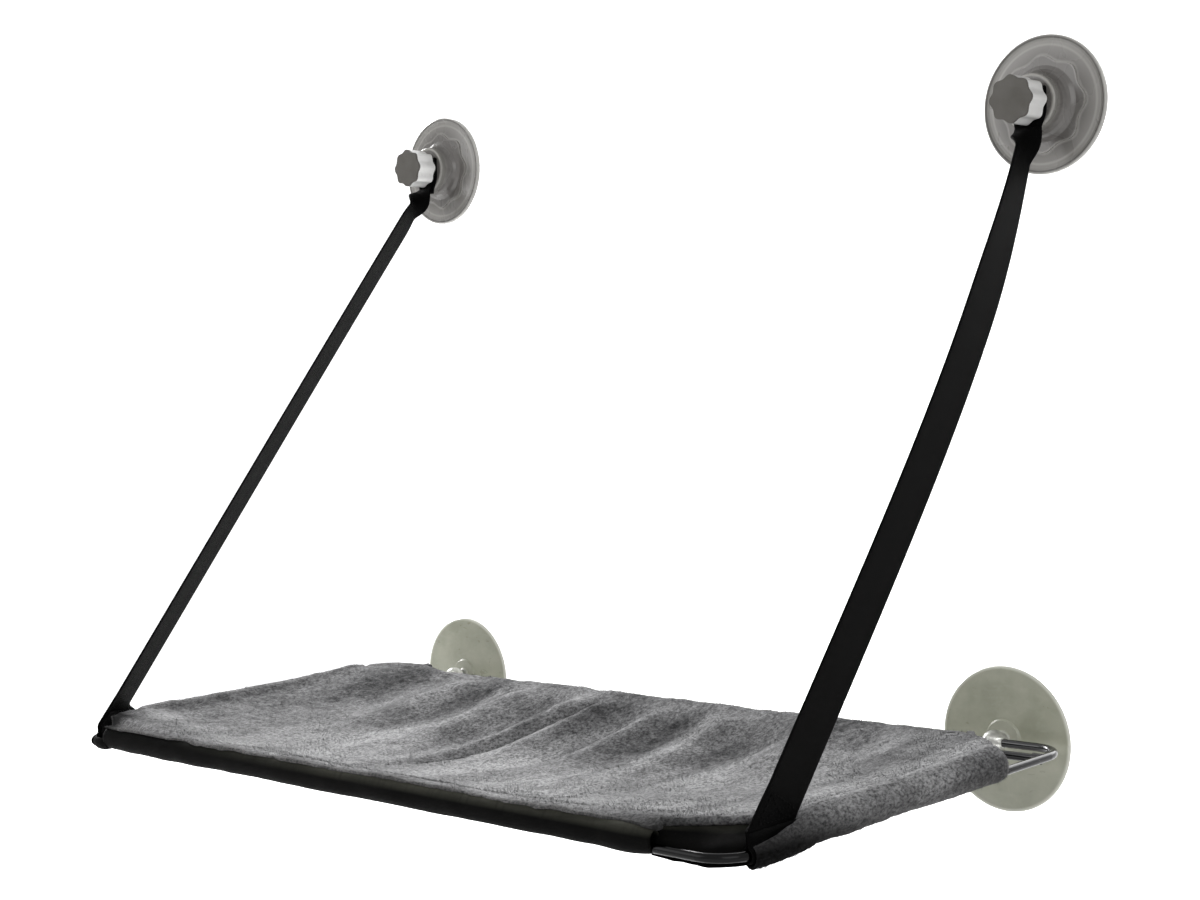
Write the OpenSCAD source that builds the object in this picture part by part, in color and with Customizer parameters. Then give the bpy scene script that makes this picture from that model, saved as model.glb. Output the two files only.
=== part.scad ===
// Window mounted cat perch. A bent wire frame carries a sagging plush cover.
// Two lower suction cups hold the frame's back rail, which turns in them, and two
// webbing straps hang its front corners from two upper suction cups with clamp knobs.
// The window glass is the plane y = 0, the room is on the -y side, and z is up.
// The origin is on the glass, level with the back rail and midway along it.

/* [Frame] */
// Width of the wire frame between the side rails' centre lines
frame_w = 620; // [580:5:660]
// Depth from the back rail's centre line to the front rail's
frame_depth = 336; // [310:2:360]
// How far the front rail hangs below the back rail
front_drop = 8; // [0:1:16]
// Centre line radius of the frame's four bends
bend_r = 22; // [18:1:26]
// Diameter of the steel wire
wire_d = 5.5; // [5:0.1:6]
// Distance of the cross rail from the back rail, centre to centre
cross_rail_gap = 31; // [29:1:34]
// Distance of the back rail's centre line from the glass
rail_standoff = 16; // [15:0.5:18]

/* [Places on the window] */
// Distance of the left lower cup's middle from the left side rail, sideways
lower_left_x = 29.5; // [29:0.5:50]
// Distance of the right lower cup's middle from the right side rail, sideways
lower_right_x = 54.5; // [52:0.5:70]
// Distance of the left upper cup's middle from the left side rail, sideways
upper_left_x = 18; // [5:1:30]
// Height of the left upper cup's middle above the back rail
upper_left_z = 433; // [410:1:450]
// Distance of the right upper cup's middle from the right side rail, sideways
upper_right_x = 15; // [5:1:30]
// Height of the right upper cup's middle above the back rail
upper_right_z = 417; // [400:1:440]

/* [Upper cups] */
// Diameter of an upper cup
upper_cup_d = 90; // [84:1:96]
// Thickness of an upper cup's disc beside the boss
upper_disc_t = 4.5; // [4:0.5:6]
// Thickness of an upper cup's disc at its rim
upper_rim_t = 2.2; // [1.8:0.1:2.8]
// Depth of the vacuum pocket behind an upper cup
upper_pocket = 2.4; // [1.5:0.1:3]
// Width of the flat sealing lip of every cup
lip_w = 5; // [4:0.5:6]
// Diameter of the boss that the strap is clamped on
boss_d = 37; // [34:1:40]
// Distance of the boss's front face from the glass
boss_h = 20; // [18:0.5:22]
// Mean diameter of the wavy raised ring on an upper cup's disc
wave_ring_d = 60; // [56:1:64]
// Height of the waves of that ring, from its mean circle
wave_ring_amp = 1.6; // [1:0.1:2]
// How far that ring stands above the disc
wave_ring_h = 0.7; // [0.5:0.1:1.2]

/* [Studs and knobs] */
// Diameter of the stud's threaded shank
stud_d = 6; // [5:0.5:8]
// Distance of the stud's tip from the glass
stud_reach = 36; // [34:0.5:38]
// Diameter of the stud's moulded-in head
stud_head_d = 18; // [15:1:20]
// Thickness of the stud's head
stud_head_t = 3; // [2.5:0.5:3.5]
// Diameter of the clamp washer
washer_d = 24; // [20:1:26]
// Thickness of the clamp washer
washer_t = 1; // [0.8:0.1:1.4]
// Diameter of a clamp knob across its lobes
knob_d = 31; // [28:0.5:34]
// Height of a clamp knob
knob_h = 18.5; // [17.5:0.5:20]
// Depth of the knob's scallops
scallop = 1.7; // [1:0.1:2.2]
// Number of lobes on a knob and of waves on the cup's wavy ring
lobes = 8; // [6:1:10]
// Diameter of the brass thread insert in a knob
insert_d = 10.5; // [10:0.5:12]
// Length of the thread insert
insert_l = 12.5; // [11:0.5:13]
// Thickness of the cap that is a knob's front face
cap_t = 2; // [1.5:0.1:2.4]
// Diameter of the spigot that plugs the cap into its knob
spigot_d = 20; // [16:0.5:22]

/* [Lower cups] */
// Diameter of a lower cup
lower_cup_d = 97.5; // [92:0.5:104]
// Thickness of a lower cup's disc beside its nub
lower_disc_t = 4.2; // [3.6:0.1:5]
// Thickness of a lower cup's disc at its rim
lower_rim_t = 1.8; // [1.4:0.1:2.4]
// Depth of the vacuum pocket behind a lower cup
lower_pocket = 1.8; // [1.2:0.1:2.4]
// Diameter of the nub that the back rail passes through
nub_d = 16; // [14:0.5:18]
// Diameter of the nub's neck
neck_d = 10.4; // [9:0.2:12]
// Diameter of the raised ring round the nub's foot
foot_d = 25; // [22:0.5:30]
// Height of that raised ring above the disc
foot_h = 1.2; // [0.8:0.1:1.6]

/* [Straps] */
// Width of the strap webbing
strap_w = 30; // [26:1:32]
// Thickness of the strap webbing
strap_t = 1.6; // [1.2:0.1:2]
// Width of the strap's upper end under the knob
strap_tab_w = 24; // [20:0.5:26]
// Width of the left strap where it leaves its clamp, gathered
gather_left_w = 14; // [12:1:18]
// Width of the right strap where it leaves its clamp, gathered
gather_right_w = 18; // [14:1:20]
// How far the strap's end reaches above the stud
tab_top = 9; // [8:0.5:12]
// Distance below the stud where the folded-back end stops
tab_fold = 21; // [19:0.5:24]
// Distance below the stud where the strap leaves the clamp
tab_drop = 16.5; // [16:0.5:19]
// Sideways bow of the left strap at its most
bow_left = 1; // [0:1:8]
// Sideways bow of the right strap at its most
bow_right = 14; // [8:1:20]
// Height of the doubled neck above a strap's loop
neck_h = 7; // [4:0.5:9]
// Place of the left strap's loop along the wire from the middle of the bend
loop_left_at = 15; // [12:1:18]
// Place of the right strap's loop along the wire from the middle of the bend
loop_right_at = 31; // [28:1:32]

/* [Cover] */
// Thickness of the plush
plush_t = 4.5; // [3.5:0.5:5.5]
// Thickness of the dark lining under the plush
lining_t = 1; // [0.8:0.1:1.6]
// Height of the cover's rear edge above the rails
rear_edge_h = 9; // [7:0.5:10]
// Height of the cover's front edge above the rails
front_edge_h = 7.5; // [6:0.5:8.5]
// Extra height of the cover's side edges
side_edge_h = 4; // [2:0.5:5]
// Sag of the cover in its middle
sag = 22; // [14:1:28]
// Height of the cover's folds
fold_h = 2.6; // [1.5:0.1:3.2]
// Spacing of the folds
fold_pitch = 60; // [54:2:80]
// Width of a side sleeve
side_sleeve_w = 20; // [17:0.5:22]
// Height of a side sleeve
side_sleeve_h = 22; // [21:0.5:26]
// Width of the front sleeve
front_sleeve_w = 10; // [9.5:0.5:12]
// Height of the front sleeve
front_sleeve_h = 14; // [13.5:0.5:17]
// Width of the rear sleeve
rear_sleeve_w = 18; // [14:0.5:19]
// Height of the rear sleeve
rear_sleeve_h = 18; // [14:0.5:20]
// Distance of the front sleeve's left end from the left side rail
front_sleeve_left = 26; // [25:1:40]
// Distance of the front sleeve's right end from the right side rail
front_sleeve_right = 52; // [45:1:65]
// Half length of the rear sleeve
rear_sleeve_half = 262; // [250:1:270]
// Distance of the side sleeves' rear ends from the back rail
side_sleeve_rear = 78; // [68:1:86]
// Distance of the left side sleeve's front end from the front rail
sleeve_front_left = 50; // [50:1:62]
// Distance of the right side sleeve's front end from the front rail
sleeve_front_right = 62; // [62:1:72]

/* [Hidden] */

// Fits and clearances
fit_gap = 0.05;
turn_gap = 0.08;
face_gap = 0.12;
soft_gap = 0.3;
landing_gap = 0.7;
overrun = 1;
wire_r = wire_d / 2;

// Roundness of small and of large circles
small_fn = 48;
large_fn = 96;

// The wire's bore in each sleeve and strap loop
sleeve_bore_r = wire_r + soft_gap;
// Outer radius of a strap's loop round the wire, and height of its neck's top
loop_r = sleeve_bore_r + strap_t;
loop_top = loop_r + neck_h;
// Points round a loop and stations along it
loop_points = 16;
loop_rows = 8;

// The frame leans forward about the back rail by this angle
lean = asin(front_drop / frame_depth);

// Rim bead of an upper cup and rounding of the boss's edge
rim_bead_r = 1.3;
boss_edge_r = 1.2;
// Outer radius of the boss's flared foot
flare_r = wave_ring_d / 2 - wave_ring_amp - 2 * boss_edge_r;
// Distance of the stud's head from the glass
stud_head_at = 8;

// Stack on the stud, as distances from the glass
washer_at = boss_h + 2 * strap_t + face_gap;
knob_at = washer_at + washer_t + face_gap;
// Space for the stud's tip inside the knob
tip_gap = 1;
tip_space_d = stud_d + tip_gap;
tip_space_end = stud_reach + 2 * tip_gap;

// Length of the cap's spigot
spigot_l = 2.4;

// Rounding of the strap tab's upper corners
tab_corner_r = 6;
// Length over which the tab's front layer narrows to the gathered run
taper_l = 6;
// How much of the bow lies in a strap's upper half
bow_skew_share = 0.5;
// Share of the strap's run over which it twists, and share at which its end fits the loop
twist_share = 0.05;
landing_share = 0.96;
// Share of each strap's run over which it widens from its gathered end
gather_left_share = 0.08;
gather_right_share = 0.3;
// Turn of each strap about its own length: 0 faces the room, 90 faces sideways
left_twist_angle = 129;
right_twist_angle = 92;
// Stations along a strap's run, how far they crowd to its ends, and strips across it
strap_rows = 44;
row_crowd_share = 0.7;
strap_cols = 4;
// Share of a strap's run, and of its width, over which its slope is taken
slope_share = 0.01;

// Height of each sleeve's middle above the wire's
side_sleeve_up = 6.4;
front_sleeve_up = 2.2;
rear_sleeve_up = 2;
sleeve_points = 36;

// Cross rail welds
weld_bead = 0.8;
weld_r = wire_r + weld_bead;
weld_l = 3;

// Cover panel's outline, measured from the back rail
panel_rear = cross_rail_gap + rear_sleeve_w / 2 + soft_gap;
panel_front = frame_depth - front_sleeve_w / 2 - soft_gap;
panel_half = frame_w / 2 - side_sleeve_w / 2 - soft_gap;
panel_rows = 10;
panel_cols = 56;
// Shape of the panel: how sharply its edges rise, and how the folds crowd
edge_power = 4;
sag_power = 2.5;
fold_crowd_share = 0.3;
// Height of the ridge behind the front seam and its middle as a share of the depth
ridge_h = 1.2;
ridge_at_share = 0.88;
ridge_w_share = 0.06;

function smooth(t) = let (u = min(1, max(0, t))) u * u * (3 - 2 * u);
function unit(v) = v / norm(v);
function mix(a, b, t) = a + (b - a) * t;

// Puts a point of the leaning frame in its place before the window
function on_frame(p) = [p.x,
    p.y * cos(lean) - p.z * sin(lean) - rail_standoff,
    p.y * sin(lean) + p.z * cos(lean)];

module on_frame() {
    translate([0, -rail_standoff, 0])
        rotate([lean, 0, 0])
            children();
}

// Turns a shape drawn upright so that its height runs from the glass to the room
module from_glass(x, z) {
    translate([x, 0, z])
        rotate([90, 0, 0])
            children();
}

// Point of the wire near a front corner. The distance runs along the wire from the
// middle of the bend, positive towards the side rail.
bend_half = bend_r * PI / 4;
function corner_point(side, distance) =
    abs(distance) <= bend_half
    ? let (turn = 45 - distance / bend_r * 180 / PI)
        [side * (frame_w / 2 - bend_r + bend_r * cos(turn)),
            -(frame_depth - bend_r) - bend_r * sin(turn), 0]
    : distance > 0
    ? [side * frame_w / 2, -(frame_depth - bend_r) + distance - bend_half, 0]
    : [side * (frame_w / 2 - bend_r + distance + bend_half), -frame_depth, 0];

// Closed solid between two grids of points, row by row, with the upper grid's
// normal along rows crossed with columns
module sheet_solid(upper, lower, rows, cols) {
    count = rows * cols;
    function at(r, c) = r * cols + c;
    polyhedron(
        points = concat(upper, lower),
        faces = concat(
            [for (r = [0:rows - 2]) for (c = [0:cols - 2])
                [at(r, c), at(r, c + 1), at(r + 1, c + 1)]],
            [for (r = [0:rows - 2]) for (c = [0:cols - 2])
                [at(r, c), at(r + 1, c + 1), at(r + 1, c)]],
            [for (r = [0:rows - 2]) for (c = [0:cols - 2])
                [count + at(r + 1, c + 1), count + at(r, c + 1), count + at(r, c)]],
            [for (r = [0:rows - 2]) for (c = [0:cols - 2])
                [count + at(r + 1, c), count + at(r + 1, c + 1), count + at(r, c)]],
            [for (c = [0:cols - 2]) [at(0, c + 1), at(0, c), count + at(0, c)]],
            [for (c = [0:cols - 2]) [at(0, c + 1), count + at(0, c), count + at(0, c + 1)]],
            [for (c = [0:cols - 2])
                [at(rows - 1, c), at(rows - 1, c + 1), count + at(rows - 1, c + 1)]],
            [for (c = [0:cols - 2])
                [at(rows - 1, c), count + at(rows - 1, c + 1), count + at(rows - 1, c)]],
            [for (r = [0:rows - 2]) [at(r, 0), at(r + 1, 0), count + at(r + 1, 0)]],
            [for (r = [0:rows - 2]) [at(r, 0), count + at(r + 1, 0), count + at(r, 0)]],
            [for (r = [0:rows - 2])
                [at(r + 1, cols - 1), at(r, cols - 1), count + at(r, cols - 1)]],
            [for (r = [0:rows - 2])
                [at(r + 1, cols - 1), count + at(r, cols - 1), count + at(r + 1, cols - 1)]]
        ));
}

// Outline with rounded lobes round a mean radius
module lobed(mean_r, amplitude) {
    steps = lobes * 12;
    polygon([for (i = [0:steps - 1])
        let (turn = i * 360 / steps)
        (mean_r + amplitude * cos(lobes * turn)) * [cos(turn), sin(turn)]]);
}

// Outline of a sleeve: an oval round the wire, with the wire's bore
module sleeve_outline(w, h, up) {
    difference() {
        polygon([for (i = [0:sleeve_points - 1])
            let (turn = i * 360 / sleeve_points)
            [w / 2 * cos(turn), up + h / 2 * sin(turn)]]);
        circle(r = sleeve_bore_r, $fn = small_fn);
    }
}

module upper_cup(x, z) {
    cup_r = upper_cup_d / 2;
    boss_r = boss_d / 2;
    top = boss_h - boss_edge_r;
    land = upper_disc_t + wave_ring_h;
    color([0.68, 0.67, 0.65, 0.8])
    from_glass(x, z)
        difference() {
            union() {
                rotate_extrude($fn = large_fn)
                    polygon(concat(
                        [[0, upper_pocket]],
                        [for (a = [0:15:75])
                            [(cup_r - lip_w) * sin(a), upper_pocket * cos(a)]],
                        [[cup_r - lip_w, 0], [cup_r - rim_bead_r / 2, 0]],
                        [[cup_r, rim_bead_r / 2], [cup_r, upper_rim_t]],
                        [for (a = [30:30:150])
                            [cup_r - rim_bead_r + rim_bead_r * cos(a),
                                upper_rim_t + rim_bead_r * sin(a)]],
                        [[cup_r - 3 * rim_bead_r, upper_rim_t]],
                        [[flare_r, upper_disc_t]],
                        [for (a = [75:-15:0])
                            [flare_r - (flare_r - boss_r) * cos(a),
                                top - (top - land) * sin(a)]],
                        [for (a = [30:30:90])
                            [boss_r - boss_edge_r + boss_edge_r * cos(a),
                                top + boss_edge_r * sin(a)]],
                        [[0, boss_h]]));
                translate([0, 0, upper_pocket + fit_gap])
                    linear_extrude(land - upper_pocket - fit_gap)
                        lobed(wave_ring_d / 2, wave_ring_amp);
            }
            translate([0, 0, stud_head_at - fit_gap])
                cylinder(h = stud_head_t + 2 * fit_gap, r = stud_head_d / 2 + fit_gap,
                    $fn = small_fn);
            translate([0, 0, stud_head_at])
                cylinder(h = boss_h - stud_head_at + overrun, r = stud_d / 2 + fit_gap,
                    $fn = small_fn);
        }
}

module upper_stud(x, z) {
    color([0.78, 0.78, 0.80])
    from_glass(x, z) {
        translate([0, 0, stud_head_at])
            cylinder(h = stud_head_t, d = stud_head_d, $fn = small_fn);
        translate([0, 0, stud_head_at])
            cylinder(h = stud_reach - stud_head_at - stud_d / 8, d = stud_d, $fn = small_fn);
        translate([0, 0, stud_reach - stud_d / 8])
            cylinder(h = stud_d / 8, d1 = stud_d, d2 = stud_d * 3 / 4, $fn = small_fn);
    }
}

// One layer of the strap's upper end, with the hole for the stud
module tab_layer(bottom, bottom_w) {
    difference() {
        union() {
            polygon([[bottom_w / 2, -bottom], [strap_tab_w / 2, taper_l - bottom],
                [strap_tab_w / 2, tab_top - tab_corner_r],
                [-strap_tab_w / 2, tab_top - tab_corner_r],
                [-strap_tab_w / 2, taper_l - bottom], [-bottom_w / 2, -bottom]]);
            translate([-strap_tab_w / 2 + tab_corner_r, 0])
                square([strap_tab_w - 2 * tab_corner_r, tab_top]);
            for (side = [-1, 1])
                translate([side * (strap_tab_w / 2 - tab_corner_r), tab_top - tab_corner_r])
                    circle(r = tab_corner_r, $fn = small_fn);
        }
        circle(r = stud_d / 2 + soft_gap, $fn = small_fn);
    }
}

module strap_tab(x, z, run_w) {
    color([0.05, 0.05, 0.055])
    from_glass(x, z) {
        translate([0, 0, boss_h])
            linear_extrude(strap_t)
                tab_layer(tab_fold, strap_tab_w);
        translate([0, 0, boss_h + strap_t])
            linear_extrude(strap_t)
                tab_layer(tab_drop, run_w);
    }
}

module clamp_washer(x, z) {
    color([0.72, 0.72, 0.73])
    from_glass(x, z)
        translate([0, 0, washer_at])
            difference() {
                cylinder(h = washer_t, d = washer_d, $fn = small_fn);
                translate([0, 0, -overrun])
                    cylinder(h = washer_t + 2 * overrun, r = stud_d / 2 + turn_gap,
                        $fn = small_fn);
            }
}

module knob(x, z) {
    color([0.84, 0.84, 0.83])
    from_glass(x, z)
        translate([0, 0, knob_at])
            difference() {
                linear_extrude(knob_h - cap_t)
                    lobed(knob_d / 2 - scallop / 2, scallop / 2);
                translate([0, 0, -overrun])
                    cylinder(h = insert_l + overrun + fit_gap, r = insert_d / 2 + fit_gap,
                        $fn = small_fn);
                translate([0, 0, -overrun])
                    cylinder(h = tip_space_end - knob_at + overrun, d = tip_space_d,
                        $fn = small_fn);
                translate([0, 0, knob_h - cap_t - spigot_l - fit_gap])
                    cylinder(h = spigot_l + overrun, r = spigot_d / 2 + fit_gap,
                        $fn = small_fn);
            }
}

module knob_insert(x, z) {
    color([0.72, 0.58, 0.28])
    from_glass(x, z)
        translate([0, 0, knob_at])
            difference() {
                cylinder(h = insert_l, d = insert_d, $fn = small_fn);
                translate([0, 0, -overrun])
                    cylinder(h = insert_l + 2 * overrun, r = stud_d / 2 + turn_gap,
                        $fn = small_fn);
            }
}

module knob_cap(x, z) {
    color([0.45, 0.44, 0.43])
    from_glass(x, z)
        translate([0, 0, knob_at + knob_h - cap_t]) {
            linear_extrude(cap_t)
                lobed(knob_d / 2 - scallop / 2, scallop / 2);
            translate([0, 0, -spigot_l])
                cylinder(h = spigot_l + cap_t / 2, d = spigot_d, $fn = small_fn);
        }
}

module lower_cup(x) {
    cup_r = lower_cup_d / 2;
    nub_r = nub_d / 2;
    neck_r = neck_d / 2;
    foot_r = foot_d / 2;
    start = -acos(neck_r / nub_r);
    color([0.70, 0.72, 0.66, 0.8])
    difference() {
        from_glass(x, 0)
            rotate_extrude($fn = large_fn)
                polygon(concat(
                    [[0, lower_pocket]],
                    [for (a = [0:15:75])
                        [(cup_r - lip_w) * sin(a), lower_pocket * cos(a)]],
                    [[cup_r - lip_w, 0], [cup_r - lower_rim_t / 3, 0]],
                    [[cup_r, lower_rim_t / 3], [cup_r, lower_rim_t * 2 / 3]],
                    [[cup_r - lower_rim_t / 3, lower_rim_t]],
                    [[foot_r + foot_h, lower_disc_t]],
                    [[foot_r, lower_disc_t + foot_h]],
                    [[neck_r + foot_h, lower_disc_t + foot_h]],
                    [[neck_r, lower_disc_t + 2 * foot_h]],
                    [for (i = [0:12])
                        let (a = start + (90 - start) * i / 12)
                        [i == 12 ? 0 : nub_r * cos(a), rail_standoff + nub_r * sin(a)]]));
        translate([x - nub_d, -rail_standoff, 0])
            rotate([0, 90, 0])
                cylinder(h = 2 * nub_d, r = wire_r + turn_gap, $fn = small_fn);
    }
}

// Straight wire along x, or along y, between two distances
module wire_x(from, to, y, r) {
    translate([from, y, 0])
        rotate([0, 90, 0])
            cylinder(h = to - from, r = r, $fn = small_fn);
}

module wire_y(from, to, x, r) {
    translate([x, from, 0])
        rotate([-90, 0, 0])
            cylinder(h = to - from, r = r, $fn = small_fn);
}

// Rod round the right front corner, between two turns measured from the side rail
module bent(from_turn, to_turn, r) {
    translate([frame_w / 2 - bend_r, -(frame_depth - bend_r), 0])
        rotate([0, 0, -to_turn])
            rotate_extrude(angle = to_turn - from_turn, $fn = large_fn)
                translate([bend_r, 0])
                    circle(r = r, $fn = small_fn);
}

// Rod along the wire near a front corner, between two distances from its middle
module wire_run(side, from, to, r) {
    bend_from = max(from, -bend_half);
    bend_to = min(to, bend_half);
    mirror([side < 0 ? 1 : 0, 0, 0]) {
        bent(45 * (1 - bend_to / bend_half), 45 * (1 - bend_from / bend_half), r);
        if (to > bend_half)
            wire_y(bend_r - frame_depth, bend_r - frame_depth + to - bend_half,
                frame_w / 2, r);
        if (from < -bend_half)
            wire_x(frame_w / 2 - bend_r + from + bend_half, frame_w / 2 - bend_r,
                -frame_depth, r);
    }
}

module frame_loop() {
    half = frame_w / 2;
    color([0.75, 0.75, 0.77])
    on_frame() {
        wire_x(-half + bend_r, half - bend_r, 0, wire_r);
        wire_x(-half + bend_r, half - bend_r, -frame_depth, wire_r);
        for (side = [-1, 1]) {
            wire_y(-frame_depth + bend_r, -bend_r, side * half, wire_r);
            wire_run(side, -bend_half, bend_half, wire_r);
            translate([side * (half - bend_r), -bend_r, 0])
                rotate([0, 0, side > 0 ? 0 : 90])
                    rotate_extrude(angle = 90, $fn = large_fn)
                        translate([bend_r, 0])
                            circle(r = wire_r, $fn = small_fn);
        }
    }
}

module cross_rail() {
    half = frame_w / 2;
    color([0.75, 0.75, 0.77])
    on_frame()
        difference() {
            union() {
                wire_x(-half, half, -cross_rail_gap, wire_r);
                wire_x(-half, -half + wire_r + weld_l, -cross_rail_gap, weld_r);
                wire_x(half - wire_r - weld_l, half, -cross_rail_gap, weld_r);
            }
            for (side = [-1, 1])
                wire_y(-cross_rail_gap - wire_d, -cross_rail_gap + wire_d,
                    side * half, wire_r);
            for (side = [-1, 1])
                translate([side * (half + wire_d / 2), -cross_rail_gap, 0])
                    cube([wire_d, 2 * wire_d, 2 * wire_d], center = true);
        }
}

// Length of wire that the strap's loop covers: the strap meets the wire at a slant
strap_rise = norm([frame_depth, upper_right_z]);
loop_l = strap_w * strap_rise / upper_right_z;

function loop_at(side) = side < 0 ? loop_left_at : loop_right_at;

// Outline of the loop: round the wire, with a neck of two layers on top
neck_turn = acos(strap_t / loop_r);
function loop_turn(i) = neck_turn - i * (180 + 2 * neck_turn) / (loop_points - 1);
function loop_outer() = concat(
    [for (i = [0:loop_points - 1]) loop_r * [cos(loop_turn(i)), sin(loop_turn(i))]],
    [[-strap_t, loop_top], [strap_t, loop_top]]);
function loop_inner() = concat(
    [for (i = [0:loop_points - 1]) sleeve_bore_r * [cos(loop_turn(i)), sin(loop_turn(i))]],
    [for (share = [-1 / 3, 1 / 3])
        sleeve_bore_r * [sin(share * (90 - neck_turn)), cos(share * (90 - neck_turn))]]);

// Outward direction of the wire near the right front corner
function corner_normal(distance) =
    let (turn = min(90, max(0, 45 - distance / bend_r * 180 / PI)))
    [cos(turn), -sin(turn), 0];

module strap_loop(side) {
    count = loop_points + 2;
    ring = 2 * count;
    function at(r, i) = r * ring + i % count;
    function in_at(r, i) = r * ring + count + i % count;
    stations = [for (r = [0:loop_rows])
        loop_at(side) + loop_l * (r / loop_rows - 1 / 2)];
    color([0.06, 0.06, 0.06])
    on_frame()
        mirror([side < 0 ? 1 : 0, 0, 0])
            polyhedron(
                points = [for (d = stations) for (q = concat(loop_outer(), loop_inner()))
                    corner_point(1, d) + q.x * corner_normal(d) + [0, 0, q.y]],
                faces = concat(
                    [for (r = [0:loop_rows - 1]) for (i = [0:count - 1])
                        [at(r, i), at(r + 1, i + 1), at(r, i + 1)]],
                    [for (r = [0:loop_rows - 1]) for (i = [0:count - 1])
                        [at(r, i), at(r + 1, i), at(r + 1, i + 1)]],
                    [for (r = [0:loop_rows - 1]) for (i = [0:count - 1])
                        [in_at(r, i), in_at(r, i + 1), in_at(r + 1, i + 1)]],
                    [for (r = [0:loop_rows - 1]) for (i = [0:count - 1])
                        [in_at(r, i), in_at(r + 1, i + 1), in_at(r + 1, i)]],
                    [for (i = [0:count - 1]) [at(0, i), at(0, i + 1), in_at(0, i + 1)]],
                    [for (i = [0:count - 1]) [at(0, i), in_at(0, i + 1), in_at(0, i)]],
                    [for (i = [0:count - 1])
                        [at(loop_rows, i), in_at(loop_rows, i + 1), at(loop_rows, i + 1)]],
                    [for (i = [0:count - 1])
                        [at(loop_rows, i), in_at(loop_rows, i), in_at(loop_rows, i + 1)]]));
}

// The strap's run from its tab to its loop, as a curve with four control points
function stud_x(side) =
    side < 0 ? upper_left_x - frame_w / 2 : frame_w / 2 - upper_right_x;
function stud_z(side) = side < 0 ? upper_left_z : upper_right_z;
function strap_bow(side) = side < 0 ? bow_left : bow_right;
function strap_turn(side) = side < 0 ? left_twist_angle : right_twist_angle;
function gather_share(side) = side < 0 ? gather_left_share : gather_right_share;
function gather_w(side) = side < 0 ? gather_left_w : gather_right_w;
function run_top(side) = [stud_x(side), -boss_h - 3 * strap_t / 2, stud_z(side) - tab_drop];
function landing(side, distance) =
    on_frame(corner_point(side, distance) + [0, 0, loop_top + landing_gap]);
function run_end(side) = landing(side, loop_at(side));

function run_point(side, t) =
    let (a = run_top(side), d = run_end(side))
    let (bow = [side * strap_bow(side) * 4 / 3, 0, 0])
    let (b = mix(a, d, 1 / 3) + bow * (1 + bow_skew_share))
    let (c = mix(a, d, 2 / 3) + bow * (1 - bow_skew_share))
    pow(1 - t, 3) * a + 3 * pow(1 - t, 2) * t * b + 3 * (1 - t) * t * t * c + pow(t, 3) * d;

function run_along(side, t) =
    t <= 0 ? [0, 0, -1]
    : unit(run_point(side, min(1, t + slope_share))
        - run_point(side, max(0, t - slope_share)));

function run_across(side, t) =
    let (along = run_along(side, t))
    let (swing = unit(cross([1, 0, 0], along)))
    let (level = cross(along, swing))
    let (turn = strap_turn(side) * smooth(t / twist_share))
    mix(gather_w(side), strap_w, smooth(t / gather_share(side)))
        * (cos(turn) * level + sin(turn) * swing);

// Point of the strap's middle layer: t runs down the strap, u across it
function strap_point(side, t, u) =
    let (free = run_point(side, t) + u * run_across(side, t))
    let (slope = (run_top(side) - run_end(side)) * (1 - t))
    let (landed = landing(side, loop_at(side) + u * loop_l) + slope)
    mix(free, landed, smooth((t - landing_share) / (1 - landing_share)));

function strap_normal(side, t, u) =
    unit(cross(run_along(side, t),
        strap_point(side, t, u + slope_share) - strap_point(side, t, u - slope_share)));

module strap_run(side) {
    function face(sign) = [for (r = [0:strap_rows]) for (c = [0:strap_cols])
        let (t = r / strap_rows - row_crowd_share * sin(360 * r / strap_rows) / (2 * PI))
        let (u = c / strap_cols - 1 / 2)
        strap_point(side, t, u) + sign * strap_t / 2 * strap_normal(side, t, u)];
    color([0.05, 0.05, 0.055])
        sheet_solid(face(1), face(-1), strap_rows + 1, strap_cols + 1);
}

// Half width of the cover panel at a distance from the back rail, on a side whose side
// sleeve and front sleeve end that far from the front rail and from the middle
function panel_edge(distance, side_end, front_end) =
    distance < side_sleeve_rear
    ? mix(rear_sleeve_half, panel_half,
        sin(90 * (distance - panel_rear) / (side_sleeve_rear - panel_rear)))
    : distance > frame_depth - side_end
    ? mix(front_end, panel_half,
        sin(90 * (panel_front - distance) / (panel_front - frame_depth + side_end)))
    : panel_half;

// Height of the cover's top above the rails
function panel_top(x, distance) =
    let (s = (distance - panel_rear) / (panel_front - panel_rear))
    let (side = min(1, abs(x) / panel_half))
    let (bowl = 4 * s * (1 - s) * (1 - pow(side, sag_power)))
    let (crowd = fold_crowd_share * sin(90 * x / fold_pitch))
    let (fade = 6.75 * s * pow(1 - s, 2) * (1 - pow(side, edge_power)))
    let (ridge = exp(-pow((s - ridge_at_share) / ridge_w_share, 2)) * (1 - side * side))
    mix(rear_edge_h, front_edge_h, s) + side_edge_h * pow(side, edge_power) - sag * bowl
        + fold_h * fade * cos(360 * (x / fold_pitch + crowd)) + ridge_h * ridge;

module panel_layer(depth, thickness) {
    function sheet(down) = [for (r = [0:panel_rows]) for (c = [0:panel_cols])
        let (distance = mix(panel_rear, panel_front, r / panel_rows))
        let (left = panel_edge(distance, sleeve_front_left, frame_w / 2 - front_sleeve_left))
        let (right = panel_edge(distance, sleeve_front_right, frame_w / 2 - front_sleeve_right))
        let (x = mix(-left, right, c / panel_cols))
        on_frame([x, -distance, panel_top(x, distance) - down])];
    sheet_solid(sheet(depth), sheet(depth + thickness), panel_rows + 1, panel_cols + 1);
}

module cover_panel() {
    color([0.45, 0.45, 0.47])
        panel_layer(0, plush_t);
}

module cover_lining() {
    color([0.10, 0.10, 0.10])
        panel_layer(plush_t + soft_gap / 2, lining_t);
}

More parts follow.
